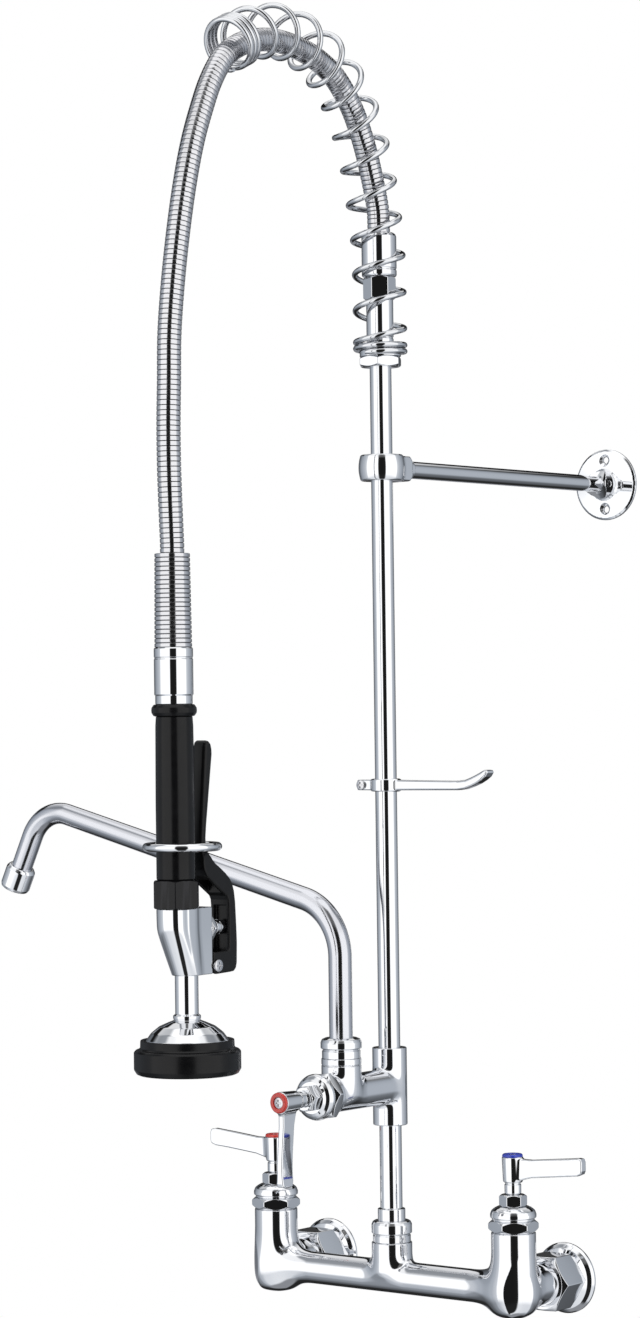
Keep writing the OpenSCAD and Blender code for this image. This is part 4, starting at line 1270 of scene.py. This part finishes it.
def studio_floor():
    """Pale disc under the faucet that fades out towards its rim."""
    radius, height, count = 1250, -320, len(ROUND)
    rim = [(radius * math.cos(a), radius * math.sin(a), height) for a in ROUND]
    tris = [(0, 1 + k, 1 + (k + 1) % count) for k in range(count)]
    n = Nodes("studio_floor")
    n.set(Roughness=0.9, Specular_IOR_Level=0.1)
    n.link(n.mixed(n.noise(6, 3), (0.90, 0.90, 0.91), (0.93, 0.93, 0.93)),
           n.shader.inputs["Base Color"])
    far = n.add("ShaderNodeVectorMath", operation="LENGTH")
    n.link(n.place, far.inputs[0])
    n.link(n.ranged(far.outputs["Value"], 0.55, 1.2, 1, 0), n.shader.inputs["Alpha"])
    floor = make("floor", Shape([(0, 0, height)] + rim, (), tris), n.material, sharp=None)
    floor.visible_glossy = False
    floor.visible_diffuse = False


studio_floor()


def studio_world():
    """Soft studio, fixed in the world: wide white screens at both sides of the camera with a
    dark gap between them, a dim far side, a lit ceiling. The background is seen as white."""
    world = bpy.data.worlds.new("studio")
    bpy.context.scene.world = world
    world.use_nodes = True
    w = Tree(world.node_tree)
    w.tree.nodes.clear()

    def ramp(value, low, high, stops):
        """Colours by value; each stop is (place, brightness) or (place, brightness, blue).
        The first and the last hold on beyond their places."""
        node = w.add("ShaderNodeValToRGB")
        node.color_ramp.interpolation = "EASE"
        elements = node.color_ramp.elements
        while len(elements) > 1:
            elements.remove(elements[-1])
        for i, (place, bright, *blue) in enumerate(stops):
            tint = blue[0] if blue else 0.0
            share = (place - low) / (high - low)
            element = elements[0] if i == 0 else elements.new(share)
            element.position = share
            element.color = (bright * (1 - tint), bright, bright * (1 + 1.4 * tint), 1)
        w.link(value, node.inputs[0])
        return node.outputs[0]

    parts = w.add("ShaderNodeSeparateXYZ")
    w.link(w.add("ShaderNodeTexCoord").outputs["Generated"], parts.inputs[0])
    x, y, z = parts.outputs
    squares = w.math("ADD", w.math("MULTIPLY", x, x), w.math("MULTIPLY", y, y))
    flat = w.math("MAXIMUM", w.math("SQRT", squares), 1e-4)
    facing = w.math("ADD", w.math("MULTIPLY", x, TO_CAMERA[0]),
                    w.math("MULTIPLY", y, TO_CAMERA[1]))
    cosine = w.math("MAXIMUM", w.math("MINIMUM", w.math("DIVIDE", facing, flat), 1.0), -1.0)
    turn = w.math("DIVIDE", w.math("ARCCOSINE", cosine), math.pi)
    rise = w.math("DIVIDE", w.math("ARCTANGENT", w.math("DIVIDE", z, flat)), math.pi)
    rise = w.math("ADD", rise, 0.5)

    def by_turn(stops):  # degrees away from the camera's side
        return ramp(turn, 0, 180, stops)

    def by_rise(stops):  # degrees above the horizon
        return ramp(rise, -90, 90, stops)

    around = by_turn([(0, 0.012), (17, 0.015), (21.5, 1.32), (79, 1.30), (85, 0.70, 0.04),
                      (104, 0.52, 0.07), (120, 0.40, 0.08), (145, 0.17, 0.09), (162, 0.09, 0.06),
                      (180, 0.05)])
    below = by_turn([(0, 0.02), (14, 0.02), (22, 0.95, 0.02), (64, 0.85, 0.03),
                     (86, 0.55, 0.06), (98, 0.32, 0.07), (128, 0.13, 0.07), (146, 0.025),
                     (180, 0.02)])
    above = by_turn([(0, 0.16), (14, 0.20), (26, 1.15), (76, 1.10), (92, 0.36, 0.05),
                     (108, 0.33, 0.05), (130, 0.60, 0.02), (155, 0.85), (180, 1.0)])
    screens = w.mixed(by_rise([(-27, 1), (-15, 0)]), around, below)
    screens = w.mixed(by_rise([(-72, 1), (-60, 0)]), screens, (0.30, 0.31, 0.33))
    screens = w.mixed(by_rise([(27, 0), (36, 1)]), screens, above)
    screens = w.mixed(by_rise([(58, 0), (66, 1)]), screens, (1.3, 1.3, 1.3))
    line = w.math("MULTIPLY", by_rise([(19, 0), (23, 1), (33, 1), (37, 0)]),
                  by_turn([(112, 0), (132, 1)]))
    screens = w.mixed(line, screens, (0.01, 0.01, 0.01))
    strip = w.math("MULTIPLY", by_rise([(-27, 0), (-19, 1), (-12, 1), (-5, 0)]),
                   by_turn([(140, 0), (160, 1)]))
    screens = w.mixed(strip, screens, (0.30, 0.31, 0.34))
    seen = w.add("ShaderNodeBackground")
    seen.inputs["Color"].default_value = (1, 1, 1, 1)
    reflected = w.add("ShaderNodeBackground")
    w.link(screens, reflected.inputs["Color"])
    chosen = w.add("ShaderNodeMixShader")
    w.link(w.add("ShaderNodeLightPath").outputs["Is Camera Ray"], chosen.inputs[0])
    w.link(reflected.outputs[0], chosen.inputs[1])
    w.link(seen.outputs[0], chosen.inputs[2])
    w.link(chosen.outputs[0], w.add("ShaderNodeOutputWorld").inputs[0])


studio_world()


def soft_light(name, at, target, size, power):
    """Area light for the plastics and the floor; the chrome takes its shine from the screens."""
    data = bpy.data.lights.new(name, "AREA")
    data.size, data.energy = size, power
    light = bpy.data.objects.new(name, data)
    light.location = at
    light.rotation_mode = "QUATERNION"
    light.rotation_quaternion = (Vector(target) - Vector(at)).to_track_quat("-Z", "Y")
    light.visible_glossy = False
    bpy.context.scene.collection.objects.link(light)


CENTRE = (0.0, -0.16, 0.42)
soft_light("key_light", (0.4, -1.9, 2.2), CENTRE, 1.2, 20)
soft_light("side_light", (2.4, -0.6, 1.2), CENTRE, 1.4, 10)
bpy.context.scene.view_settings.view_transform = "Standard"
